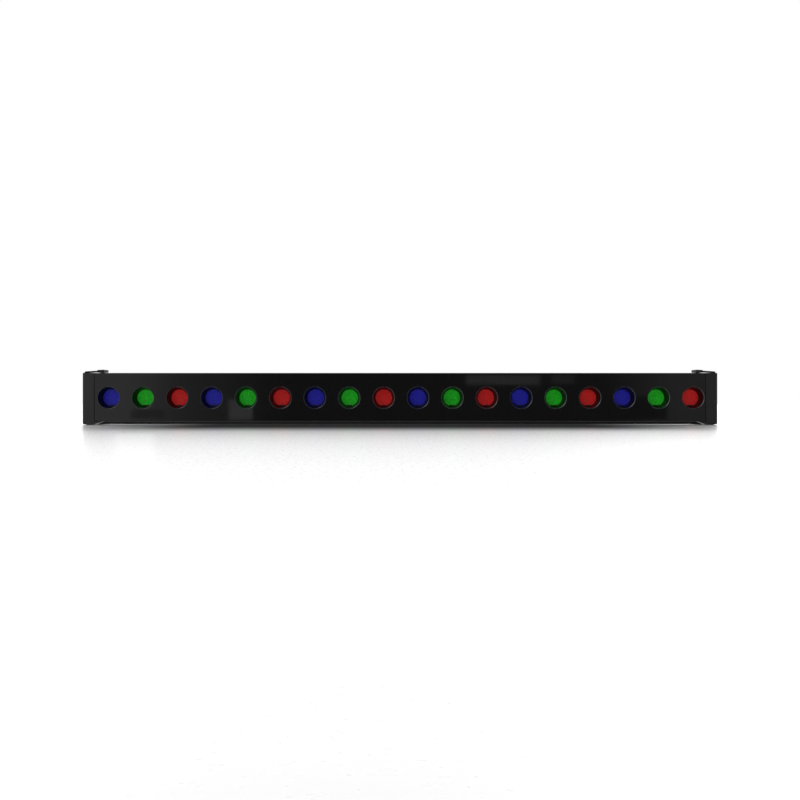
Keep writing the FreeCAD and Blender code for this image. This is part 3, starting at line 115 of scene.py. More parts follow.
class BattenSizes(bpy.types.PropertyGroup):
    """Sizes of the finishing work that the frame leaves open."""

    edge: bpy.props.FloatProperty(
        name="Broken edge",
        description="Width of the softened edge on metal and moulded pieces",
        default=0.3 * MM, min=0.05 * MM, max=1.0 * MM, unit="LENGTH",
    )
    well_radius: bpy.props.FloatProperty(
        name="Well radius",
        description="Radius of the round holes in the front panel",
        default=17.0 * MM, unit="LENGTH",
    )
    chamfer: bpy.props.FloatProperty(
        name="Well chamfer",
        description="Width of the polished chamfer around each hole",
        default=0.6 * MM, unit="LENGTH",
    )
    pebble_pitch: bpy.props.FloatProperty(
        name="Pebble pitch",
        description="Distance between the bumps on a lens face",
        default=2.6 * MM, unit="LENGTH",
    )
    pebble_height: bpy.props.FloatProperty(
        name="Pebble height",
        description="Height of the bumps on a lens face",
        default=0.06 * MM, unit="LENGTH",
    )
    lens_flat: bpy.props.FloatProperty(
        name="Lens flat",
        description="Distance from a lens's middle to the flat on its lower rim",
        default=12.3 * MM, unit="LENGTH",
    )


class BattenColours(bpy.types.PropertyGroup):
    """Base colours of the visible finishes."""

    panel: bpy.props.FloatVectorProperty(
        name="Front panel", description="Black of the gloss acrylic panel",
        subtype="COLOR", size=3, min=0.0, max=1.0, default=linear("#060607"),
    )
    housing: bpy.props.FloatVectorProperty(
        name="Housing", description="Black of the powder-coated housing",
        subtype="COLOR", size=3, min=0.0, max=1.0, default=linear("#161617"),
    )
    blue: bpy.props.FloatVectorProperty(
        name="Blue lens", description="Body colour of the blue lenses",
        subtype="COLOR", size=3, min=0.0, max=1.0, default=linear("#2828CA"),
    )
    green: bpy.props.FloatVectorProperty(
        name="Green lens", description="Body colour of the green lenses",
        subtype="COLOR", size=3, min=0.0, max=1.0, default=linear("#1EDD22"),
    )
    red: bpy.props.FloatVectorProperty(
        name="Red lens", description="Body colour of the red lenses",
        subtype="COLOR", size=3, min=0.0, max=1.0, default=linear("#F02020"),
    )


# ------------------------------------------------------------------ shader nodes


def add(tree, kind, inputs=None, **settings):
    """Adds one node: sets its own settings, then fills or links its inputs by name or number."""
    made = tree.nodes.new(kind)
    for name, value in settings.items():
        setattr(made, name, value)
    for name, value in (inputs or {}).items():
        if isinstance(value, bpy.types.NodeSocket):
            tree.links.new(value, made.inputs[name])
        else:
            made.inputs[name].default_value = value
    return made


def rgba(colour):
    """A colour with full alpha, from a hex value or three linear numbers."""
    return (*(linear(colour) if isinstance(colour, str) else colour), 1.0)


def start_material(name):
    """An empty node material, its tree, and object coordinates in metres."""
    material = bpy.data.materials.new(name)
    material.use_nodes = True
    tree = material.node_tree
    tree.nodes.clear()
    place = add(tree, "ShaderNodeTexCoord").outputs["Object"]
    return material, tree, place


def finish(
    name, shade, worn, rough, grain_mm, depth_mm, patch_mm=25.0, streaks=(1.0, 1.0, 1.0), **shader
):
    """A solid finish: colour drifting from shade to worn, roughness drifting between two values in the
    same patches, and a grained relief. streaks stretches the grain: a small number is a long streak."""
    material, tree, place = start_material(name)
    patches = add(
        tree, "ShaderNodeTexNoise",
        {"Vector": place, "Scale": 1 / (patch_mm * MM), "Detail": 4.0, "Roughness": 0.6},
    ).outputs["Fac"]
    stretched = add(tree, "ShaderNodeMapping", {"Vector": place, "Scale": streaks}).outputs["Vector"]
    grain = add(
        tree, "ShaderNodeTexNoise",
        {"Vector": stretched, "Scale": 1 / (grain_mm * MM), "Detail": 3.0, "Roughness": 0.55},
    ).outputs["Fac"]
    tone = add(tree, "ShaderNodeMix", {0: patches, 6: rgba(shade), 7: rgba(worn)}, data_type="RGBA")
    gloss = add(
        tree, "ShaderNodeMapRange",
        {"Value": patches, "From Min": 0.3, "From Max": 0.7, "To Min": rough[0], "To Max": rough[1]},
    )
    bump = add(tree, "ShaderNodeBump", {"Height": grain, "Distance": depth_mm * MM, "Strength": 1.0})
    inputs = {
        "Base Color": tone.outputs[2],
        "Roughness": gloss.outputs["Result"],
        "Normal": bump.outputs["Normal"],
    }
    for socket, value in shader.items():
        inputs[socket.replace("_", " ")] = value
    principled = add(tree, "ShaderNodeBsdfPrincipled", inputs)
    add(tree, "ShaderNodeOutputMaterial", {"Surface": principled.outputs["BSDF"]})
    return material


# ------------------------------------------------------------------ materials


def cast_acrylic(colour):
    """Cast acrylic sheet, gloss black, flame-bright surface: sharp reflections, a very slow wave in the
    sheet, and faint wipe marks that only change the gloss."""
    material, tree, place = start_material("cast_acrylic_gloss_black")
    wave = add(
        tree, "ShaderNodeTexNoise", {"Vector": place, "Scale": 1 / (140 * MM), "Detail": 1.0}
    ).outputs["Fac"]
    wipes = add(tree, "ShaderNodeMapping", {"Vector": place, "Scale": (0.35, 1.0, 1.6)}).outputs["Vector"]
    haze = add(
        tree, "ShaderNodeTexNoise",
        {"Vector": wipes, "Scale": 1 / (22 * MM), "Detail": 5.0, "Roughness": 0.65},
    ).outputs["Fac"]
    tone = add(tree, "ShaderNodeMix", {0: haze, 6: rgba(colour), 7: rgba("#0A0A0C")}, data_type="RGBA")
    gloss = add(
        tree, "ShaderNodeMapRange",
        {"Value": haze, "From Min": 0.3, "From Max": 0.7, "To Min": 0.035, "To Max": 0.10},
    )
    bump = add(tree, "ShaderNodeBump", {"Height": wave, "Distance": 0.10 * MM, "Strength": 1.0})
    shader = add(
        tree, "ShaderNodeBsdfPrincipled",
        {
            "Base Color": tone.outputs[2],
            "Roughness": gloss.outputs["Result"],
            "IOR": 1.49,
            "Normal": bump.outputs["Normal"],
        },
    )
    add(tree, "ShaderNodeOutputMaterial", {"Surface": shader.outputs["BSDF"]})
    return material


def tinted_acrylic_painted_glow(name, colour, deep):
    """Injection-moulded PMMA lens, dyed through: glossy skin over a milky coloured body in random patches
    of deeper and paler colour, with a painted glow: the body colour is also emitted a little, standing in
    for light scattered inside the lens."""
    material, tree, place = start_material(name)
    cloud = add(
        tree, "ShaderNodeTexNoise", {"Vector": place, "Scale": 1 / (3 * MM), "Detail": 3.0}
    ).outputs["Fac"]
    milk = add(tree, "ShaderNodeMapRange", {"Value": cloud, "From Min": 0.35, "From Max": 0.65})
    body = add(
        tree, "ShaderNodeMix",
        {0: milk.outputs["Result"], 6: rgba(deep), 7: rgba(colour)}, data_type="RGBA",
    ).outputs[2]
    gloss = add(
        tree, "ShaderNodeMapRange",
        {"Value": cloud, "From Min": 0.3, "From Max": 0.7, "To Min": 0.30, "To Max": 0.42},
    )
    frost = add(
        tree, "ShaderNodeTexNoise", {"Vector": place, "Scale": 1 / (0.7 * MM), "Detail": 2.0}
    ).outputs["Fac"]
    bump = add(tree, "ShaderNodeBump", {"Height": frost, "Distance": 0.02 * MM, "Strength": 1.0})
    shader = add(
        tree, "ShaderNodeBsdfPrincipled",
        {
            "Base Color": body,
            "Roughness": gloss.outputs["Result"],
            "IOR": 1.49,
            "Specular IOR Level": 0.3,
            "Normal": bump.outputs["Normal"],
            # Painted glow: the lens emits its own body colour, though it is no lamp.
            "Emission Color": body,
            "Emission Strength": 0.12,
        },
    )
    add(tree, "ShaderNodeOutputMaterial", {"Surface": shader.outputs["BSDF"]})
    return material


def build_materials(colours):
    """All finishes by a short key."""
    return {
        "panel": cast_acrylic(tuple(colours.panel)),
        # Diamond-polished chamfer in the sheet's edge: grey as a painted highlight on the rim, and catching
        # the lamp in an arc.
        "chamfer": finish(
            "polished_acrylic_edge_painted_highlight", "#34353A", "#484A50", (0.2, 0.3), 0.5, 0.004, 6.0,
            IOR=1.49, Specular_IOR_Level=1.0,
        ),
        "blue": tinted_acrylic_painted_glow("moulded_pmma_blue", tuple(colours.blue), "#1E1EAE"),
        "green": tinted_acrylic_painted_glow("moulded_pmma_green", tuple(colours.green), "#16B819"),
        "red": tinted_acrylic_painted_glow("moulded_pmma_red", tuple(colours.red), "#D41818"),
        # Moulded ABS with a mirror-polished tool surface: glossy walls that pick up the lens colour.
        "hood": finish(
            "polished_abs_black", "#0B0B0C", "#101012", (0.28, 0.4), 4.0, 0.01, 12.0, IOR=1.5,
            Specular_IOR_Level=0.22
        ),
        # Moulded ABS from a spark-eroded tool: fine even grain.
        "moulded": finish(
            "spark_grained_abs_black", "#121213", "#1A1A1B", (0.42, 0.58), 0.35, 0.012, 15.0, IOR=1.54
        ),
        # Polyester powder coat on aluminium: satin, with a fine orange peel.
        "powder": finish(
            "satin_powder_coat_black", tuple(colours.housing), "#1B1B1D", (0.34, 0.46), 1.1, 0.018, 60.0
        ),
        # Wet paint on a die casting: satin, slightly lumpy from the casting under it.
        "cast_paint": finish(
            "satin_paint_on_casting", "#18181A", "#1E1E20", (0.36, 0.48), 1.6, 0.03, 18.0
        ),
        # Baked enamel on folded steel sheet: smoother and a little glossier than the housing.
        "sheet_paint": finish(
            "baked_enamel_on_steel", "#131315", "#1A1A1C", (0.26, 0.38), 1.4, 0.012, 14.0
        ),
        # Silicone-faced rubber: matte, dusty, no clear reflection.
        "rubber": finish("moulded_rubber_black", "#101010", "#1D1C1B", (0.62, 0.82), 0.5, 0.03, 8.0),
        # Black-oxide steel screws: dark and oily with small bright rubs.
        "black_steel": finish(
            "black_oxide_steel", "#17181A", "#2B2C2E", (0.28, 0.45), 0.6, 0.008, 1.8, Metallic=0.9
        ),
        # Zinc-plated steel.
        "zinc": finish(
            "zinc_plated_steel", "#A6A9AC", "#8C8F93", (0.25, 0.4), 0.7, 0.006, 4.0, Metallic=1.0
        ),
        # Zinc die casting with satin nickel plate.
        "nickel": finish(
            "satin_nickel_plate", "#9A9690", "#7E7B76", (0.24, 0.36), 0.8, 0.006, 5.0, Metallic=1.0
        ),
        # Hard gold flash over brass contacts.
        "gold": finish(
            "gold_flash_on_brass", "#D8B25A", "#B68F3C", (0.16, 0.3), 0.6, 0.003, 2.0, Metallic=1.0
        ),
        # Extruded aluminium, mill finish, with die lines along the length.
        "mill": finish(
            "mill_finish_aluminium", "#B4B6B8", "#9C9FA2", (0.28, 0.42), 0.8, 0.006, 20.0,
            (0.02, 1.0, 1.0), Metallic=1.0,
        ),
        # Natural nylon 6, machined.
        "nylon": finish("natural_nylon", "#D9D6CC", "#C8C3B5", (0.4, 0.55), 0.8, 0.01, 6.0, IOR=1.53),
        # Smoked polycarbonate pane, lacquered dark behind, hard glossy face.
        "smoked": smoked_polycarbonate(),
        # Epoxy display block, black, with pale unlit segments.
        "display": finish("display_block_black", "#0C0C0D", "#131314", (0.3, 0.4), 0.6, 0.005, 6.0),
        "segment": finish("unlit_display_segment", "#8D8682", "#7B7571", (0.45, 0.55), 0.5, 0.003, 3.0),
        # Glass-epoxy board under green solder mask, with the copper showing as a slow mottling.
        "board": finish(
            "green_solder_mask", "#0F4A22", "#1C6A33", (0.25, 0.35), 1.6, 0.02, 3.0, IOR=1.55
        ),
        # Aluminium-core board under white solder mask.
        "white_board": finish(
            "white_solder_mask", "#E6E6E2", "#D4D4CE", (0.3, 0.4), 1.6, 0.015, 6.0, IOR=1.55
        ),
        # Epoxy-cased electronic parts.
        "component": finish("epoxy_case_dark", "#1B1B1D", "#33312F", (0.4, 0.6), 0.6, 0.01, 9.0),
        # Plasticised PVC insulation.
        "wire_blue": finish("pvc_insulation_blue", "#1F4DA0", "#183C80", (0.35, 0.5), 1.2, 0.01, 6.0),
        "wire_red": finish("pvc_insulation_red", "#A52020", "#8A1818", (0.35, 0.5), 1.2, 0.01, 6.0),
        "ribbon": finish("pvc_ribbon_grey", "#8F8F8E", "#7D7D7C", (0.4, 0.55), 1.2, 0.01, 9.0),
        # Clear silicone dome over yellow phosphor.
        "phosphor": finish("silicone_over_phosphor", "#E8D98C", "#D9C66E", (0.15, 0.25), 1.0, 0.005, 2.0),
        # Printed polyester label with no print on it.
        "label": finish("blank_polyester_label", "#8B8D90", "#77797C", (0.3, 0.42), 1.5, 0.004, 12.0),
        # Fuse with nickel-plated end caps, read as one dull silver piece.
        "fuse": finish(
            "nickel_plated_fuse_caps", "#B9BCBA", "#9FA3A1", (0.2, 0.3), 0.8, 0.004, 3.0, Metallic=1.0
        ),
    }


def smoked_polycarbonate():
    """Smoked polycarbonate: dark glassy pane that lets the pale segments show faintly."""
    material, tree, place = start_material("smoked_polycarbonate")
    dust = add(
        tree, "ShaderNodeTexNoise", {"Vector": place, "Scale": 1 / (1.8 * MM), "Detail": 4.0}
    ).outputs["Fac"]
    gloss = add(
        tree, "ShaderNodeMapRange",
        {"Value": dust, "From Min": 0.3, "From Max": 0.7, "To Min": 0.03, "To Max": 0.10},
    )
    shader = add(
        tree, "ShaderNodeBsdfPrincipled",
        {
            "Base Color": rgba("#2B2325"),
            "Roughness": gloss.outputs["Result"],
            "IOR": 1.58,
            "Transmission Weight": 0.75,
        },
    )
    add(tree, "ShaderNodeOutputMaterial", {"Surface": shader.outputs["BSDF"]})
    return material


# ------------------------------------------------------------------ mesh work


def grid_faces(rows, columns, close_rows=False, close_columns=True):
    """Quads of a rows by columns grid of points, optionally joined round in either direction."""
    r = np.arange(rows if close_rows else rows - 1)
    c = np.arange(columns if close_columns else columns - 1)
    r, c = (a.ravel() for a in np.meshgrid(r, c, indexing="ij"))
    here, below = r * columns, (r + 1) % rows * columns
    across = (c + 1) % columns
    return np.stack([here + c, here + across, below + across, below + c], 1)


def repeated(points, faces, offsets):
    """The same surface set down once at every offset."""
    count = len(points)
    all_points = (points[None] + offsets[:, None]).reshape(-1, 3)
    all_faces = (faces[None] + count * np.arange(len(offsets))[:, None, None]).reshape(-1, faces.shape[1])
    return all_points, all_faces


def joined(*surfaces):
    """Several surfaces as one set of points and faces."""
    points, faces, start = [], [], 0
    for these_points, these_faces in surfaces:
        points.append(these_points)
        faces.append(these_faces + start)
        start += len(these_points)
    return np.concatenate(points), np.concatenate(faces)


def settle_mesh(mesh, merge, crease):
    """Merges doubled points, turns every face outwards, and keeps edges sharper than crease."""
    work = bmesh.new()
    work.from_mesh(mesh)
    bmesh.ops.remove_doubles(work, verts=work.verts, dist=merge)
    bmesh.ops.recalc_face_normals(work, faces=work.faces)
    for face in work.faces:
        face.smooth = True
    for edge in work.edges:
        edge.smooth = edge.is_manifold and edge.calc_face_angle(0.0) < crease
    work.to_mesh(mesh)
    work.free()


def new_piece(name, surface, material, body, nodes=(), crease=math.radians(35)):
    """A mesh object from points and quads, riding on a body and standing for the named nodes."""
    points, faces = surface
    mesh = bpy.data.meshes.new(name)
    mesh.from_pydata(points.tolist(), [], faces.tolist())
    settle_mesh(mesh, 1e-6, crease)
    piece = bpy.data.objects.new(name, mesh)
    bpy.context.scene.collection.objects.link(piece)
    for entry in material if isinstance(material, list) else [material]:
        mesh.materials.append(entry)
    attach(piece, body)
    if nodes:
        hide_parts(*nodes)
    return piece


def soft_copy(node, material, width):
    """A copy of a frame node with its points merged, flat triangles joined and edges broken by a bevel."""
    source = NODES[node]
    mesh = source.data.copy()
    mesh.name = node + "_finished"
    work = bmesh.new()
    work.from_mesh(mesh)
    bmesh.ops.remove_doubles(work, verts=work.verts, dist=2e-6)
    bmesh.ops.dissolve_limit(
        work, angle_limit=math.radians(0.6), verts=work.verts, edges=work.edges, delimit={"NORMAL"}
    )
    for face in work.faces:
        face.smooth = True
    for edge in work.edges:
        edge.smooth = edge.is_manifold and edge.calc_face_angle(0.0) < math.radians(30)
    work.to_mesh(mesh)
    work.free()
    mesh.materials.clear()
    mesh.materials.append(material)
    piece = bpy.data.objects.new(node + "_finished", mesh)
    bpy.context.scene.collection.objects.link(piece)
    if width:
        bevel = piece.modifiers.new("broken_edge", "BEVEL")
        bevel.width = width
        bevel.segments = 2
        bevel.limit_method = "ANGLE"
        bevel.angle_limit = math.radians(40)
        bevel.use_clamp_overlap = True
        bevel.harden_normals = False
    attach(piece, source["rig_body"])
    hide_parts(node)
    return piece


def paint(node, material):
    """Gives a frame node that stays as it is its finish."""
    slots = NODES[node].data.materials
    slots.clear()
    slots.append(material)


def turned(profile, segments, radius_of=None):
    """A closed profile of (radius, depth) points turned about the Y axis: the point at (row, angle) is
    radius times (cos, -, sin), at that depth. radius_of may change the radius by row and angle."""
    angle = np.linspace(0.0, 2 * math.pi, segments, endpoint=False)
    radius = np.repeat(profile[:, :1], segments, 1)
    if radius_of is not None:
        radius = radius_of(radius, angle[None])
    depth = np.repeat(profile[:, 1:2], segments, 1)
    points = np.stack([radius * np.cos(angle), depth, radius * np.sin(angle)], -1)
    return points.reshape(-1, 3)


def arc(centre, radius, start, end, steps):
    """Points on a round corner, as (first, second) pairs, between two angles in degrees."""
    angle = np.radians(np.linspace(start, end, steps))
    return np.stack([centre[0] + radius * np.cos(angle), centre[1] + radius * np.sin(angle)], 1)


def lens_surface(sizes, front, back):
    """One lens about the Y axis. A point is (ring, angle): its radius is ring times the outline's reach,
    which is the lens's radius, or flat / -sin(angle) where the lower flat cuts the outline. Its depth is a
    shallow bowl, 0.35 mm times ring squared, plus pebbles: three sets of ripples at 0, 60 and 120 degrees
    added together, fading out by the rim. The side and the back follow the same outline."""
    flat = sizes.lens_flat
    ring = np.concatenate([np.linspace(0.0, 0.94, 30), [0.965, 0.985, 1.0]])
    angle = np.linspace(0.0, 2 * math.pi, 128, endpoint=False)
    down = np.maximum(-np.sin(angle), 1e-6)
    reach = np.minimum(LENS_RADIUS, np.where(down > flat / LENS_RADIUS, flat / down, LENS_RADIUS))
    radius = ring[:, None] * reach
    across, up = radius * np.cos(angle), radius * np.sin(angle)
    turns = np.radians([7.0, 67.0, 127.0])[:, None, None]
    turn_rate = 2 * math.pi / sizes.pebble_pitch
    ripples = np.cos(turn_rate * (across * np.cos(turns) + up * np.sin(turns))).mean(0)
    fade = np.clip((1 - ring) / 0.08, 0, 1)[:, None]
    face = front + 0.35 * MM * ring[:, None] ** 2 + sizes.pebble_height * fade * (0.75 - ripples)
    face = np.maximum(face, front)
    side = np.array([0.55 * MM, 0.9 * MM, 5.0 * MM, back - front - 0.3 * MM, back - front])
    shrink = np.array([1.0, 1.0, 1.0, 1.0, 0.98])
    wall = np.stack(
        np.broadcast_arrays(
            shrink[:, None] * across[-1], (front + side)[:, None], shrink[:, None] * up[-1]
        ), -1,
    )
    shut = np.stack(np.broadcast_arrays(0 * across[-1], back, 0 * up[-1]), -1)[None]
    points = np.concatenate([np.stack([across, face, up], -1), wall, shut])
    return points.reshape(-1, 3), grid_faces(len(points), len(angle))


def hood_surface(well, front, back, mouth, flange):
    """One light hood turned about the Y axis: a closed profile goes down the inside cone from the well's
    radius to the lens mouth, round the inner end, back up the outside and round the flange."""
    wall, lip = 1.3 * MM, 0.25 * MM
    inside = np.linspace([well, front + lip], [mouth, back - lip], 10)
    profile = np.concatenate([
        [[well + lip, front]], inside,
        [[mouth + lip, back], [mouth + wall - lip, back], [mouth + wall, back - lip]],
        [[well + wall, front + 0.8 * MM + lip], [well + wall + lip, front + 0.8 * MM]],
        [[flange - lip, front + 0.8 * MM], [flange, front + 0.4 * MM], [flange - lip, front]],
    ])
    return turned(profile, 96), grid_faces(len(profile), 96, close_rows=True)


def plaque(outline, low, high, edge):
    """A low raised shape from a closed (x, z) outline that its middle can see all of: rows run from the
    middle of the near side, out to the outline, up the edge, in by the edge's softening, and to the
    middle of the far side."""
    middle = outline.mean(0)
    size = np.abs(outline - middle).max()
    rows = ((0.0, low), (1.0, low), (1.0, high - edge), (1.0 - edge / size, high), (0.0, high))
    points = [
        np.stack([*(middle + share * (outline - middle)).T, np.full(len(outline), depth)], 1)[:, [0, 2, 1]]
        for share, depth in rows
    ]
    return np.concatenate(points), grid_faces(len(rows), len(outline))


def rounded_box(middle, width, height, corner, steps=6):
    """The (x, z) outline of a rectangle with round corners."""
    x, z = width / 2 - corner, height / 2 - corner
    quarters = ((x, z, 0), (-x, z, 90), (-x, -z, 180), (x, -z, 270))
    return np.concatenate(
        [arc((middle[0] + a, middle[1] + b), corner, s, s + 90, steps) for a, b, s in quarters]
    )


def segment_outline(middle, length, thick, upright):
    """The (x, z) outline of one pointed display segment."""
    half, side = length / 2, thick / 2
    along = np.array([half, half - side, side - half, -half, side - half, half - side])
    over = np.array([0.0, side, side, 0.0, -side, -side])
    outline = np.stack([over, along] if upright else [along, over], 1)
    return outline + np.array(middle)


# ------------------------------------------------------------------ operators

MATERIALS = {}


def settings():
    """The sizes and colours set on the scene."""
    return bpy.context.scene.batten_sizes, bpy.context.scene.batten_colours


class BATTEN_OT_finishes(bpy.types.Operator):
    """Makes every finish that the pieces use"""

    bl_idname = "batten.finishes"
    bl_label = "Finishes"

    def execute(self, context):
        MATERIALS.update(build_materials(settings()[1]))
        return {"FINISHED"}


class BATTEN_OT_front_panel(bpy.types.Operator):
    """The gloss acrylic front panel, its polished well chamfers, and the foam tape behind it"""

    bl_idname = "batten.front_panel"
    bl_label = "Front panel"

    def execute(self, context):
        sizes, _ = settings()
        panel = soft_copy("front_panel", MATERIALS["panel"], 0.15 * MM)
        mesh = panel.data
        mesh.materials.append(MATERIALS["chamfer"])
        count = len(mesh.polygons)
        centres, normals = np.empty(count * 3), np.empty(count * 3)
        mesh.polygons.foreach_get("center", centres)
        mesh.polygons.foreach_get("normal", normals)
        centres, normals = centres.reshape(-1, 3), normals.reshape(-1, 3)
        nearest = CELL_X[np.abs(centres[:, :1] - CELL_X).argmin(1)]
        radius = np.hypot(centres[:, 0] - nearest, centres[:, 2] - CELL_Z)
        slanted = (np.abs(normals[:, 1]) > 0.3) & (np.abs(normals[:, 1]) < 0.95)
        beside = radius < sizes.well_radius + 1.5 * sizes.chamfer
        near = beside & (centres[:, 1] < FRONT_Y + sizes.chamfer)
        if not (slanted & near).any():
            raise RuntimeError("the front panel has no chamfers to polish")
        # The chamfer faces take the grey finish, a painted highlight round each well.
        mesh.polygons.foreach_set("material_index", (slanted & near).astype(np.int32))
        paint("panel_tape", MATERIALS["rubber"])
        return {"FINISHED"}


class BATTEN_OT_hoods(bpy.types.Operator):
    """The eighteen polished hoods that lead from the panel's wells to the lenses"""

    bl_idname = "batten.hoods"
    bl_label = "Light hoods"

    def execute(self, context):
        sizes, _ = settings()
        low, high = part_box("light_hoods")
        points, faces = hood_surface(sizes.well_radius, low.y, high.y, HOOD_MOUTH, (high.z - low.z) / 2)
        places = np.stack([CELL_X, np.zeros(CELL_COUNT), np.full(CELL_COUNT, CELL_Z)], 1)
        new_piece(
            "light_hood_cones", repeated(points, faces, places), MATERIALS["hood"],
            "bar", ["light_hoods"],
        )
        return {"FINISHED"}


class BATTEN_OT_lenses(bpy.types.Operator):
    """The blue, green and red lenses with pebbled faces, and the keyed rings that hold them"""

    bl_idname = "batten.lenses"
    bl_label = "Lenses"

    def execute(self, context):
        sizes, _ = settings()
        for first, colour in enumerate(COLOUR_ORDER):
            low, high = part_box(colour + "_lenses")
            x = CELL_X[first::3]
            places = np.stack([x, np.zeros(len(x)), np.full(len(x), CELL_Z)], 1)
            points, faces = lens_surface(sizes, low.y, high.y)
            new_piece(
                colour + "_pebbled_lenses", repeated(points, faces, places), MATERIALS[colour],
                "bar", [colour + "_lenses"], math.radians(50),
            )
        soft_copy("lens_holders", MATERIALS["moulded"], 0.15 * MM)
        return {"FINISHED"}


class BATTEN_OT_housing(bpy.types.Operator):
    """The powder-coated housing, its cast end caps, gaskets, feet and screws"""

    bl_idname = "batten.housing"
    bl_label = "Housing"

    def execute(self, context):
        edge = settings()[0].edge
        soft_copy("housing", MATERIALS["powder"], edge)
        for side in ("left", "right"):
            soft_copy("end_cap_" + side, MATERIALS["cast_paint"], edge)
        soft_copy("end_gaskets", MATERIALS["rubber"], 0)
        soft_copy("foot_pads", MATERIALS["rubber"], 0.2 * MM)
        soft_copy("end_cap_screws", MATERIALS["black_steel"], 0.12 * MM)
        return {"FINISHED"}


class BATTEN_OT_brackets(bpy.types.Operator):
    """The two swinging brackets with their rubber sleeves, washers and pivot screws"""

    bl_idname = "batten.brackets"
    bl_label = "Brackets"

    def execute(self, context):
        edge = settings()[0].edge
        for side in ("left", "right"):
            soft_copy("bracket_" + side, MATERIALS["sheet_paint"], edge)
            soft_copy("bracket_sleeve_" + side, MATERIALS["rubber"], edge)
        soft_copy("pivot_washers", MATERIALS["nylon"], 0.1 * MM)
        soft_copy("pivot_screws", MATERIALS["black_steel"], 0.12 * MM)
        return {"FINISHED"}


class BATTEN_OT_connectors(bpy.types.Operator):
    """The rear plate with its data sockets, mains inlet, fuse drawer and screws, and a blank label"""

    bl_idname = "batten.connectors"
    bl_label = "Connector plate"

    def execute(self, context):
        pieces = (
            ("connector_plate", "sheet_paint", "plate_black", 0.25),
            ("connector_plate_screws", "black_steel", "black_steel", 0.12),
            ("socket_screws", "black_steel", "black_steel", 0.1),
            ("dmx_in_shell", "nickel", "nickel", 0.25),
            ("dmx_out_shell", "nickel", "nickel", 0.25),
            ("dmx_out_latch", "nickel", "nickel", 0.2),
            ("dmx_in_insert", "moulded", "black_plastic", 0.15),
            ("dmx_out_insert", "moulded", "black_plastic", 0.15),
            ("dmx_in_pins", "gold", "gold_contact", 0.1),
            ("dmx_out_contacts", "gold", "gold_contact", 0.0),
            ("power_inlet_body", "moulded", "black_plastic", 0.25),
            ("power_inlet_blades", "nickel", "nickel", 0.2),
            ("fuse_drawer", "moulded", "black_plastic", 0.2),
            ("fuse", "fuse", "fuse_glass", 0.2),
        )
        for node, material, slot, width in pieces:
            soft_copy(node, MATERIALS[material], width * MM)
        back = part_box("connector_plate")[0].y
        outline = rounded_box(LABEL_MIDDLE, *LABEL_SIZE, LABEL_CORNER)
        new_piece(
            "blank_label", plaque(outline, back - 0.05 * MM, back + 0.12 * MM, 0.04 * MM),
            MATERIALS["label"], "bar",
        )
        return {"FINISHED"}


class BATTEN_OT_controls(bpy.types.Operator):
    """The display with its unlit segments, and the four buttons with raised marks"""

    bl_idname = "batten.controls"
    bl_label = "Controls"

    def execute(self, context):
        soft_copy("display_window", MATERIALS["smoked"], 0.2 * MM)
        paint("display_module", MATERIALS["display"])
        self.segments()
        for button in BUTTONS:
            soft_copy(button, MATERIALS["moulded"], 0.2 * MM)
            self.mark(button)
        return {"FINISHED"}

    def segments(self):
        """Four figures of seven segments each on the display block, all unlit."""
        low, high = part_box("display_module")
        tall, wide, thick, gap = 8.6 * MM, 4.6 * MM, 0.8 * MM, 6.4 * MM
        x, z = (low.x + high.x) / 2, (low.z + high.z) / 2
        flat, upright = wide - 0.3 * MM, tall / 2 - 0.3 * MM
        parts = [segment_outline((x, z + k * tall / 2), flat, thick, False) for k in (-1, 0, 1)] + [
            segment_outline((x + i * wide / 2, z + k * tall / 4), upright, thick, True)
            for i in (-1, 1) for k in (-1, 1)
        ]
        figure = joined(*(plaque(p, high.y - 0.02 * MM, high.y + 0.06 * MM, 0.02 * MM) for p in parts))
        steps = (np.arange(4) - 1.5) * gap
        places = np.stack([steps, 0 * steps, 0 * steps], 1)
        new_piece(
            "display_segments", repeated(*figure, places), MATERIALS["segment"], "bar"
        )

    def mark(self, button):
        """A raised mark on one button: bars, a triangle down or up, or a bent arrow."""
        low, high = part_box(button)
        x, z = (low.x + high.x) / 2, (low.z + high.z) / 2

        def bar(across, up, width, height):
            return rounded_box((x + across * MM, z + up * MM), width * MM, height * MM, 0.12 * MM, 3)

        def wedge(across, up, turn, size):
            corner = np.radians(turn + np.array([90.0, 210.0, 330.0]))
            place = np.array([x + across * MM, z + up * MM])
            return place + size * MM * np.stack([np.cos(corner), np.sin(corner)], 1)

        outlines = {
            "menu_button": [bar(0, k, 2.2, 0.4) for k in (-0.8, 0, 0.8)],
            "down_button": [wedge(0, 0.2, 180, 1.4)],
            "up_button": [wedge(0, -0.2, 0, 1.4)],
            "enter_button": [
                bar(-1.1, 0.3, 0.4, 1.5), bar(-0.1, -0.4, 2.0, 0.4), wedge(1.05, -0.4, 90, 0.75)
            ],
        }[button]
        surface = [plaque(o, high.y - 0.05 * MM, high.y + 0.12 * MM, 0.04 * MM) for o in outlines]
        for number, one in enumerate(surface):
            new_piece(
                f"{button}_mark_{number}", one, MATERIALS["segment"], button
            )


class BATTEN_OT_inside(bpy.types.Operator):
    """Finishes for the boards, wires and parts inside the housing"""

    bl_idname = "batten.inside"
    bl_label = "Inside parts"

    def execute(self, context):
        inside = {
            "led_emitters": "phosphor", "led_board_left": "white_board", "led_board_middle": "white_board",
            "led_board_right": "white_board", "board_links": "nylon", "board_screws": "zinc",
            "heat_spreader": "mill", "button_switches": "moulded", "control_board": "board",
            "power_supply_board": "board", "driver_board": "board", "control_spacers": "zinc",
            "earth_lug": "zinc", "power_supply_parts": "component", "driver_parts": "component",
            "board_spacers": "nylon", "mains_wires": "wire_blue", "supply_leads": "wire_red",
            "ribbon_cable": "ribbon",
        }
        for node, material in inside.items():
            paint(node, MATERIALS[material])
        return {"FINISHED"}


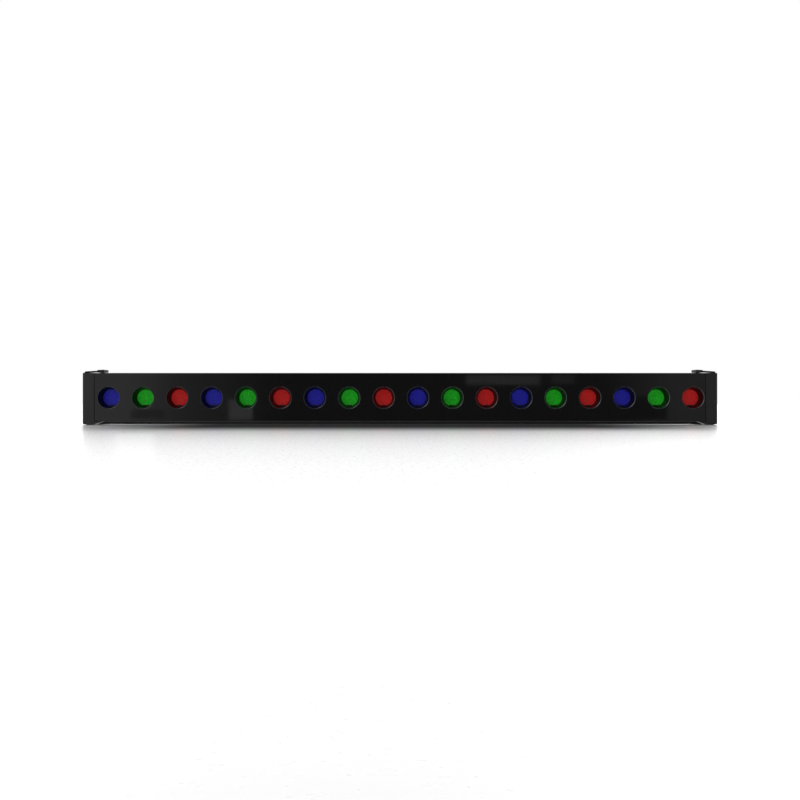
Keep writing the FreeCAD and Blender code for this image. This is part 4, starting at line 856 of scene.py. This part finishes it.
class BATTEN_OT_stage(bpy.types.Operator):
    """The pale floor, the soft studio light and the camera"""

    bl_idname = "batten.stage"
    bl_label = "Stage"

    def execute(self, context):
        scene = context.scene
        scene.view_settings.view_transform = "Standard"
        self.floor()
        self.surroundings(scene)
        self.cards()
        camera = bpy.data.objects.new("camera", bpy.data.cameras.new("camera"))
        camera.data.sensor_width = 36.0
        camera.data.lens = CAMERA_LENS
        camera.data.clip_start = 0.01
        camera.location = (0.0, FRONT_Y - CAMERA_DISTANCE, CAMERA_HEIGHT)
        camera.rotation_euler = (math.pi / 2, 0.0, 0.0)
        scene.collection.objects.link(camera)
        scene.camera = camera
        return {"FINISHED"}

    def floor(self):
        """A wide flat sheet of satin white board, dead level under the pads, with a painted shadow: where
        the floor is seen almost edge-on, as from the low front camera, it is mixed toward black near the
        bar's line, standing in for the bar's dark reflection and contact shadow. The shadow is strongest
        within 0.1 m of the bar, gone by 0.36 m, and weaker toward the bar's ends. From higher up the floor
        stays pale."""
        x, y = np.meshgrid(np.linspace(-5.0, 5.0, 9), np.linspace(-3.0, 7.0, 9), indexing="ij")
        mesh = bpy.data.meshes.new("floor")
        points = np.stack([x, y, 0 * x], -1).reshape(-1, 3)
        faces = grid_faces(9, 9, close_columns=False)[:, ::-1]
        mesh.from_pydata(points.tolist(), [], faces.tolist())
        material, tree, place = start_material("satin_white_board_painted_shadow")
        tooth = add(
            tree, "ShaderNodeTexNoise", {"Vector": place, "Scale": 1 / (3 * MM), "Detail": 2.0}
        ).outputs["Fac"]
        gloss = add(
            tree, "ShaderNodeMapRange",
            {"Value": tooth, "From Min": 0.3, "From Max": 0.7, "To Min": 0.27, "To Max": 0.29},
        )
        shader = add(
            tree, "ShaderNodeBsdfPrincipled",
            {
                "Base Color": rgba("#F0F0F0"),
                "Roughness": gloss.outputs["Result"],
                "IOR": 1.5,
                "Coat Weight": 1.0,
                "Coat Roughness": 0.27,
            },
        )
        shade = self.painted_floor_shadow(tree, place)
        # Painted shadow: the black diffuse that the floor is mixed toward near the bar.
        dark = add(tree, "ShaderNodeBsdfDiffuse", {"Color": rgba("#0A0A0A")})
        sheet = add(
            tree, "ShaderNodeMixShader", {0: shade, 1: shader.outputs["BSDF"], 2: dark.outputs["BSDF"]}
        )
        add(tree, "ShaderNodeOutputMaterial", {"Surface": sheet.outputs[0]})
        mesh.materials.append(material)
        floor = bpy.data.objects.new("floor", mesh)
        floor.visible_glossy = False
        bpy.context.scene.collection.objects.link(floor)

    def painted_floor_shadow(self, tree, place):
        """How strongly the floor is painted toward black as a shadow, 0 to 1: by distance from the bar's
        line, by place along the bar, and only where the floor is seen almost edge-on."""
        parts = add(tree, "ShaderNodeSeparateXYZ", {"Vector": place}).outputs
        across = add(tree, "ShaderNodeMath", {0: parts["X"]}, operation="ABSOLUTE").outputs[0]
        away = add(tree, "ShaderNodeMath", {0: parts["Y"]}, operation="ABSOLUTE").outputs[0]
        under = add(
            tree, "ShaderNodeMapRange",
            {"Value": away, "From Min": 0.395, "From Max": 0.125, "To Max": 0.9},
            interpolation_type="SMOOTHSTEP",
        ).outputs["Result"]
        along = add(
            tree, "ShaderNodeMapRange",
            {"Value": across, "From Min": 0.5, "From Max": 0.28}, interpolation_type="SMOOTHSTEP",
        ).outputs["Result"]
        flat = add(
            tree, "ShaderNodeMapRange",
            {
                "Value": add(tree, "ShaderNodeLayerWeight").outputs["Facing"],
                "From Min": 0.90, "From Max": 0.95,
            },
        ).outputs["Result"]
        near = add(tree, "ShaderNodeMath", {0: under, 1: along}, operation="MULTIPLY").outputs[0]
        return add(tree, "ShaderNodeMath", {0: near, 1: flat}, operation="MULTIPLY").outputs[0]

    def cards(self):
        """Plain soft panels stood before the bar. They light nothing and no camera sees them: they only
        show as calm lighter and darker shapes in the gloss of the front panel, to rays that run nearly
        level. To steeper rays they are clear, so the floor doesn't mirror them. Each is given by its low
        and high x, its low and high z, and its brightness."""
        for number, (x0, x1, z0, z1, glow) in enumerate((
            (-0.337, -0.290, 0.000, 0.040, 0.62),
            (0.130, 0.276, 0.070, 0.0885, 0.42),
            (-0.531, -0.466, 0.003, 0.020, 0.28),
            (0.394, 0.528, 0.000, 0.047, 0.10),
            (0.300, 0.345, 0.072, 0.0885, 0.27),
        )):
            name = f"card_{number}"
            mesh = bpy.data.meshes.new(name)
            y = FRONT_Y - CARD_DISTANCE - 2.0 * MM * number
            mesh.from_pydata([(x0, y, z0), (x1, y, z0), (x1, y, z1), (x0, y, z1)], [], [(3, 2, 1, 0)])
            material, tree, _ = start_material(name)
            light = add(
                tree, "ShaderNodeEmission", {"Color": (glow, glow, glow * 1.04, 1.0), "Strength": 1.0}
            )
            rise = add(
                tree, "ShaderNodeSeparateXYZ",
                {"Vector": add(tree, "ShaderNodeNewGeometry").outputs["Incoming"]},
            ).outputs["Z"]
            steep = add(
                tree, "ShaderNodeMapRange",
                {
                    "Value": add(tree, "ShaderNodeMath", {0: rise}, operation="ABSOLUTE").outputs[0],
                    "From Min": 0.06, "From Max": 0.08,
                },
            ).outputs["Result"]
            clear = add(tree, "ShaderNodeBsdfTransparent")
            level = add(tree, "ShaderNodeMixShader", {0: steep, 1: light.outputs[0], 2: clear.outputs[0]})
            add(tree, "ShaderNodeOutputMaterial", {"Surface": level.outputs[0]})
            mesh.materials.append(material)
            card = bpy.data.objects.new(name, mesh)
            card.visible_camera = card.visible_diffuse = card.visible_shadow = False
            card.visible_transmission = False
            bpy.context.scene.collection.objects.link(card)

    def surroundings(self, scene):
        """Plain white behind; as light, a pale back, two tall soft wings at the sides of it, a dim front
        whose ends are brighter, more on the left, and one soft lamp high at the front left."""
        world = bpy.data.worlds.new("studio")
        scene.world = world
        world.use_nodes = True
        tree = world.node_tree
        tree.nodes.clear()
        where = add(tree, "ShaderNodeTexCoord").outputs["Generated"]
        parts = add(tree, "ShaderNodeSeparateXYZ", {"Vector": where}).outputs
        across = add(tree, "ShaderNodeMapRange", {"Value": parts["X"], "From Min": -0.5, "From Max": 0.5})
        middle = add(tree, "ShaderNodeValToRGB", {"Fac": parts["Z"]})
        self.ramp(
            middle,
            ((0.0, 1.1), (0.06, 1.2), (0.12, 1.35), (0.30, 1.35), (0.40, 0.6), (0.6, 0.35), (1.0, 0.3)),
        )
        wings = add(tree, "ShaderNodeValToRGB", {"Fac": parts["Z"]})
        self.ramp(wings, ((0.0, 1.0), (0.15, 1.3), (0.35, 3.4), (0.7, 3.0), (1.0, 0.6)))
        wing = add(tree, "ShaderNodeValToRGB", {"Fac": across.outputs["Result"]})
        self.ramp(wing, ((0.0, 1.0), (0.25, 0.0), (0.62, 0.0), (0.85, 1.0)))
        back = add(
            tree, "ShaderNodeMix",
            {0: wing.outputs["Color"], 6: middle.outputs["Color"], 7: wings.outputs["Color"]},
            data_type="RGBA",
        )
        front = add(tree, "ShaderNodeValToRGB", {"Fac": across.outputs["Result"]})
        self.ramp(
            front,
            ((0.0, 0.7), (0.24, 0.62), (0.29, 0.30), (0.38, 0.10), (0.70, 0.10), (0.76, 0.33), (1.0, 0.30)),
        )
        facing = add(
            tree, "ShaderNodeMapRange",
            {"Value": parts["Y"], "From Min": -0.05, "From Max": 0.45},
            interpolation_type="SMOOTHSTEP",
        ).outputs["Result"]
        side = add(
            tree, "ShaderNodeMapRange",
            {"Value": parts["X"], "From Min": -0.25, "From Max": -0.6}, interpolation_type="SMOOTHSTEP",
        ).outputs["Result"]
        above = add(
            tree, "ShaderNodeMapRange",
            {"Value": parts["Z"], "From Min": 0.25, "From Max": 0.55}, interpolation_type="SMOOTHSTEP",
        ).outputs["Result"]
        corner = add(tree, "ShaderNodeMath", {0: side, 1: above}, operation="MULTIPLY").outputs[0]
        lamp = add(tree, "ShaderNodeMix", {0: corner, 7: (2.6, 2.6, 2.7, 1.0)}, data_type="RGBA")
        tree.links.new(front.outputs["Color"], lamp.inputs[6])
        light = add(tree, "ShaderNodeMix", data_type="RGBA")
        tree.links.new(facing, light.inputs[0])
        tree.links.new(lamp.outputs[2], light.inputs[6])
        tree.links.new(back.outputs[2], light.inputs[7])
        lit = add(tree, "ShaderNodeBackground", {"Color": light.outputs[2], "Strength": 1.0})
        white = add(tree, "ShaderNodeBackground", {"Color": (1.0, 1.0, 1.0, 1.0), "Strength": 1.0})
        seen = add(tree, "ShaderNodeLightPath").outputs["Is Camera Ray"]
        both = add(tree, "ShaderNodeMixShader", {0: seen, 1: lit.outputs[0], 2: white.outputs[0]})
        add(tree, "ShaderNodeOutputWorld", {"Surface": both.outputs[0]})

    def ramp(self, node, stops):
        """Sets a colour ramp's grey stops from (position, brightness) pairs."""
        elements = node.color_ramp.elements
        while len(elements) < len(stops):
            elements.new(0.5)
        for element, (position, value) in zip(elements, stops):
            element.position = position
            element.color = (value, value, value, 1.0)


STEPS = (
    BATTEN_OT_finishes,
    BATTEN_OT_front_panel,
    BATTEN_OT_hoods,
    BATTEN_OT_lenses,
    BATTEN_OT_housing,
    BATTEN_OT_brackets,
    BATTEN_OT_connectors,
    BATTEN_OT_controls,
    BATTEN_OT_inside,
    BATTEN_OT_stage,
)


class BATTEN_PT_build(bpy.types.Panel):
    """Lists the batten's sizes, colours and building steps"""

    bl_idname = "BATTEN_PT_build"
    bl_label = "LED strip batten"
    bl_space_type = "VIEW_3D"
    bl_region_type = "UI"
    bl_category = "Batten"

    def draw(self, context):
        for group in settings():
            for name in group.__annotations__:
                self.layout.prop(group, name)
        for step in STEPS:
            self.layout.operator(step.bl_idname)


def register():
    """Adds the classes and the scene's settings."""
    for cls in (BattenSizes, BattenColours, *STEPS, BATTEN_PT_build):
        bpy.utils.register_class(cls)
    bpy.types.Scene.batten_sizes = bpy.props.PointerProperty(type=BattenSizes)
    bpy.types.Scene.batten_colours = bpy.props.PointerProperty(type=BattenColours)


def unregister():
    """Removes what register added."""
    del bpy.types.Scene.batten_colours
    del bpy.types.Scene.batten_sizes
    for cls in reversed((BattenSizes, BattenColours, *STEPS, BATTEN_PT_build)):
        bpy.utils.unregister_class(cls)


def main():
    """Builds everything in order."""
    register()
    for step in STEPS:
        group, name = step.bl_idname.split(".")
        getattr(getattr(bpy.ops, group), name)()


if __name__ == "__main__":
    main()
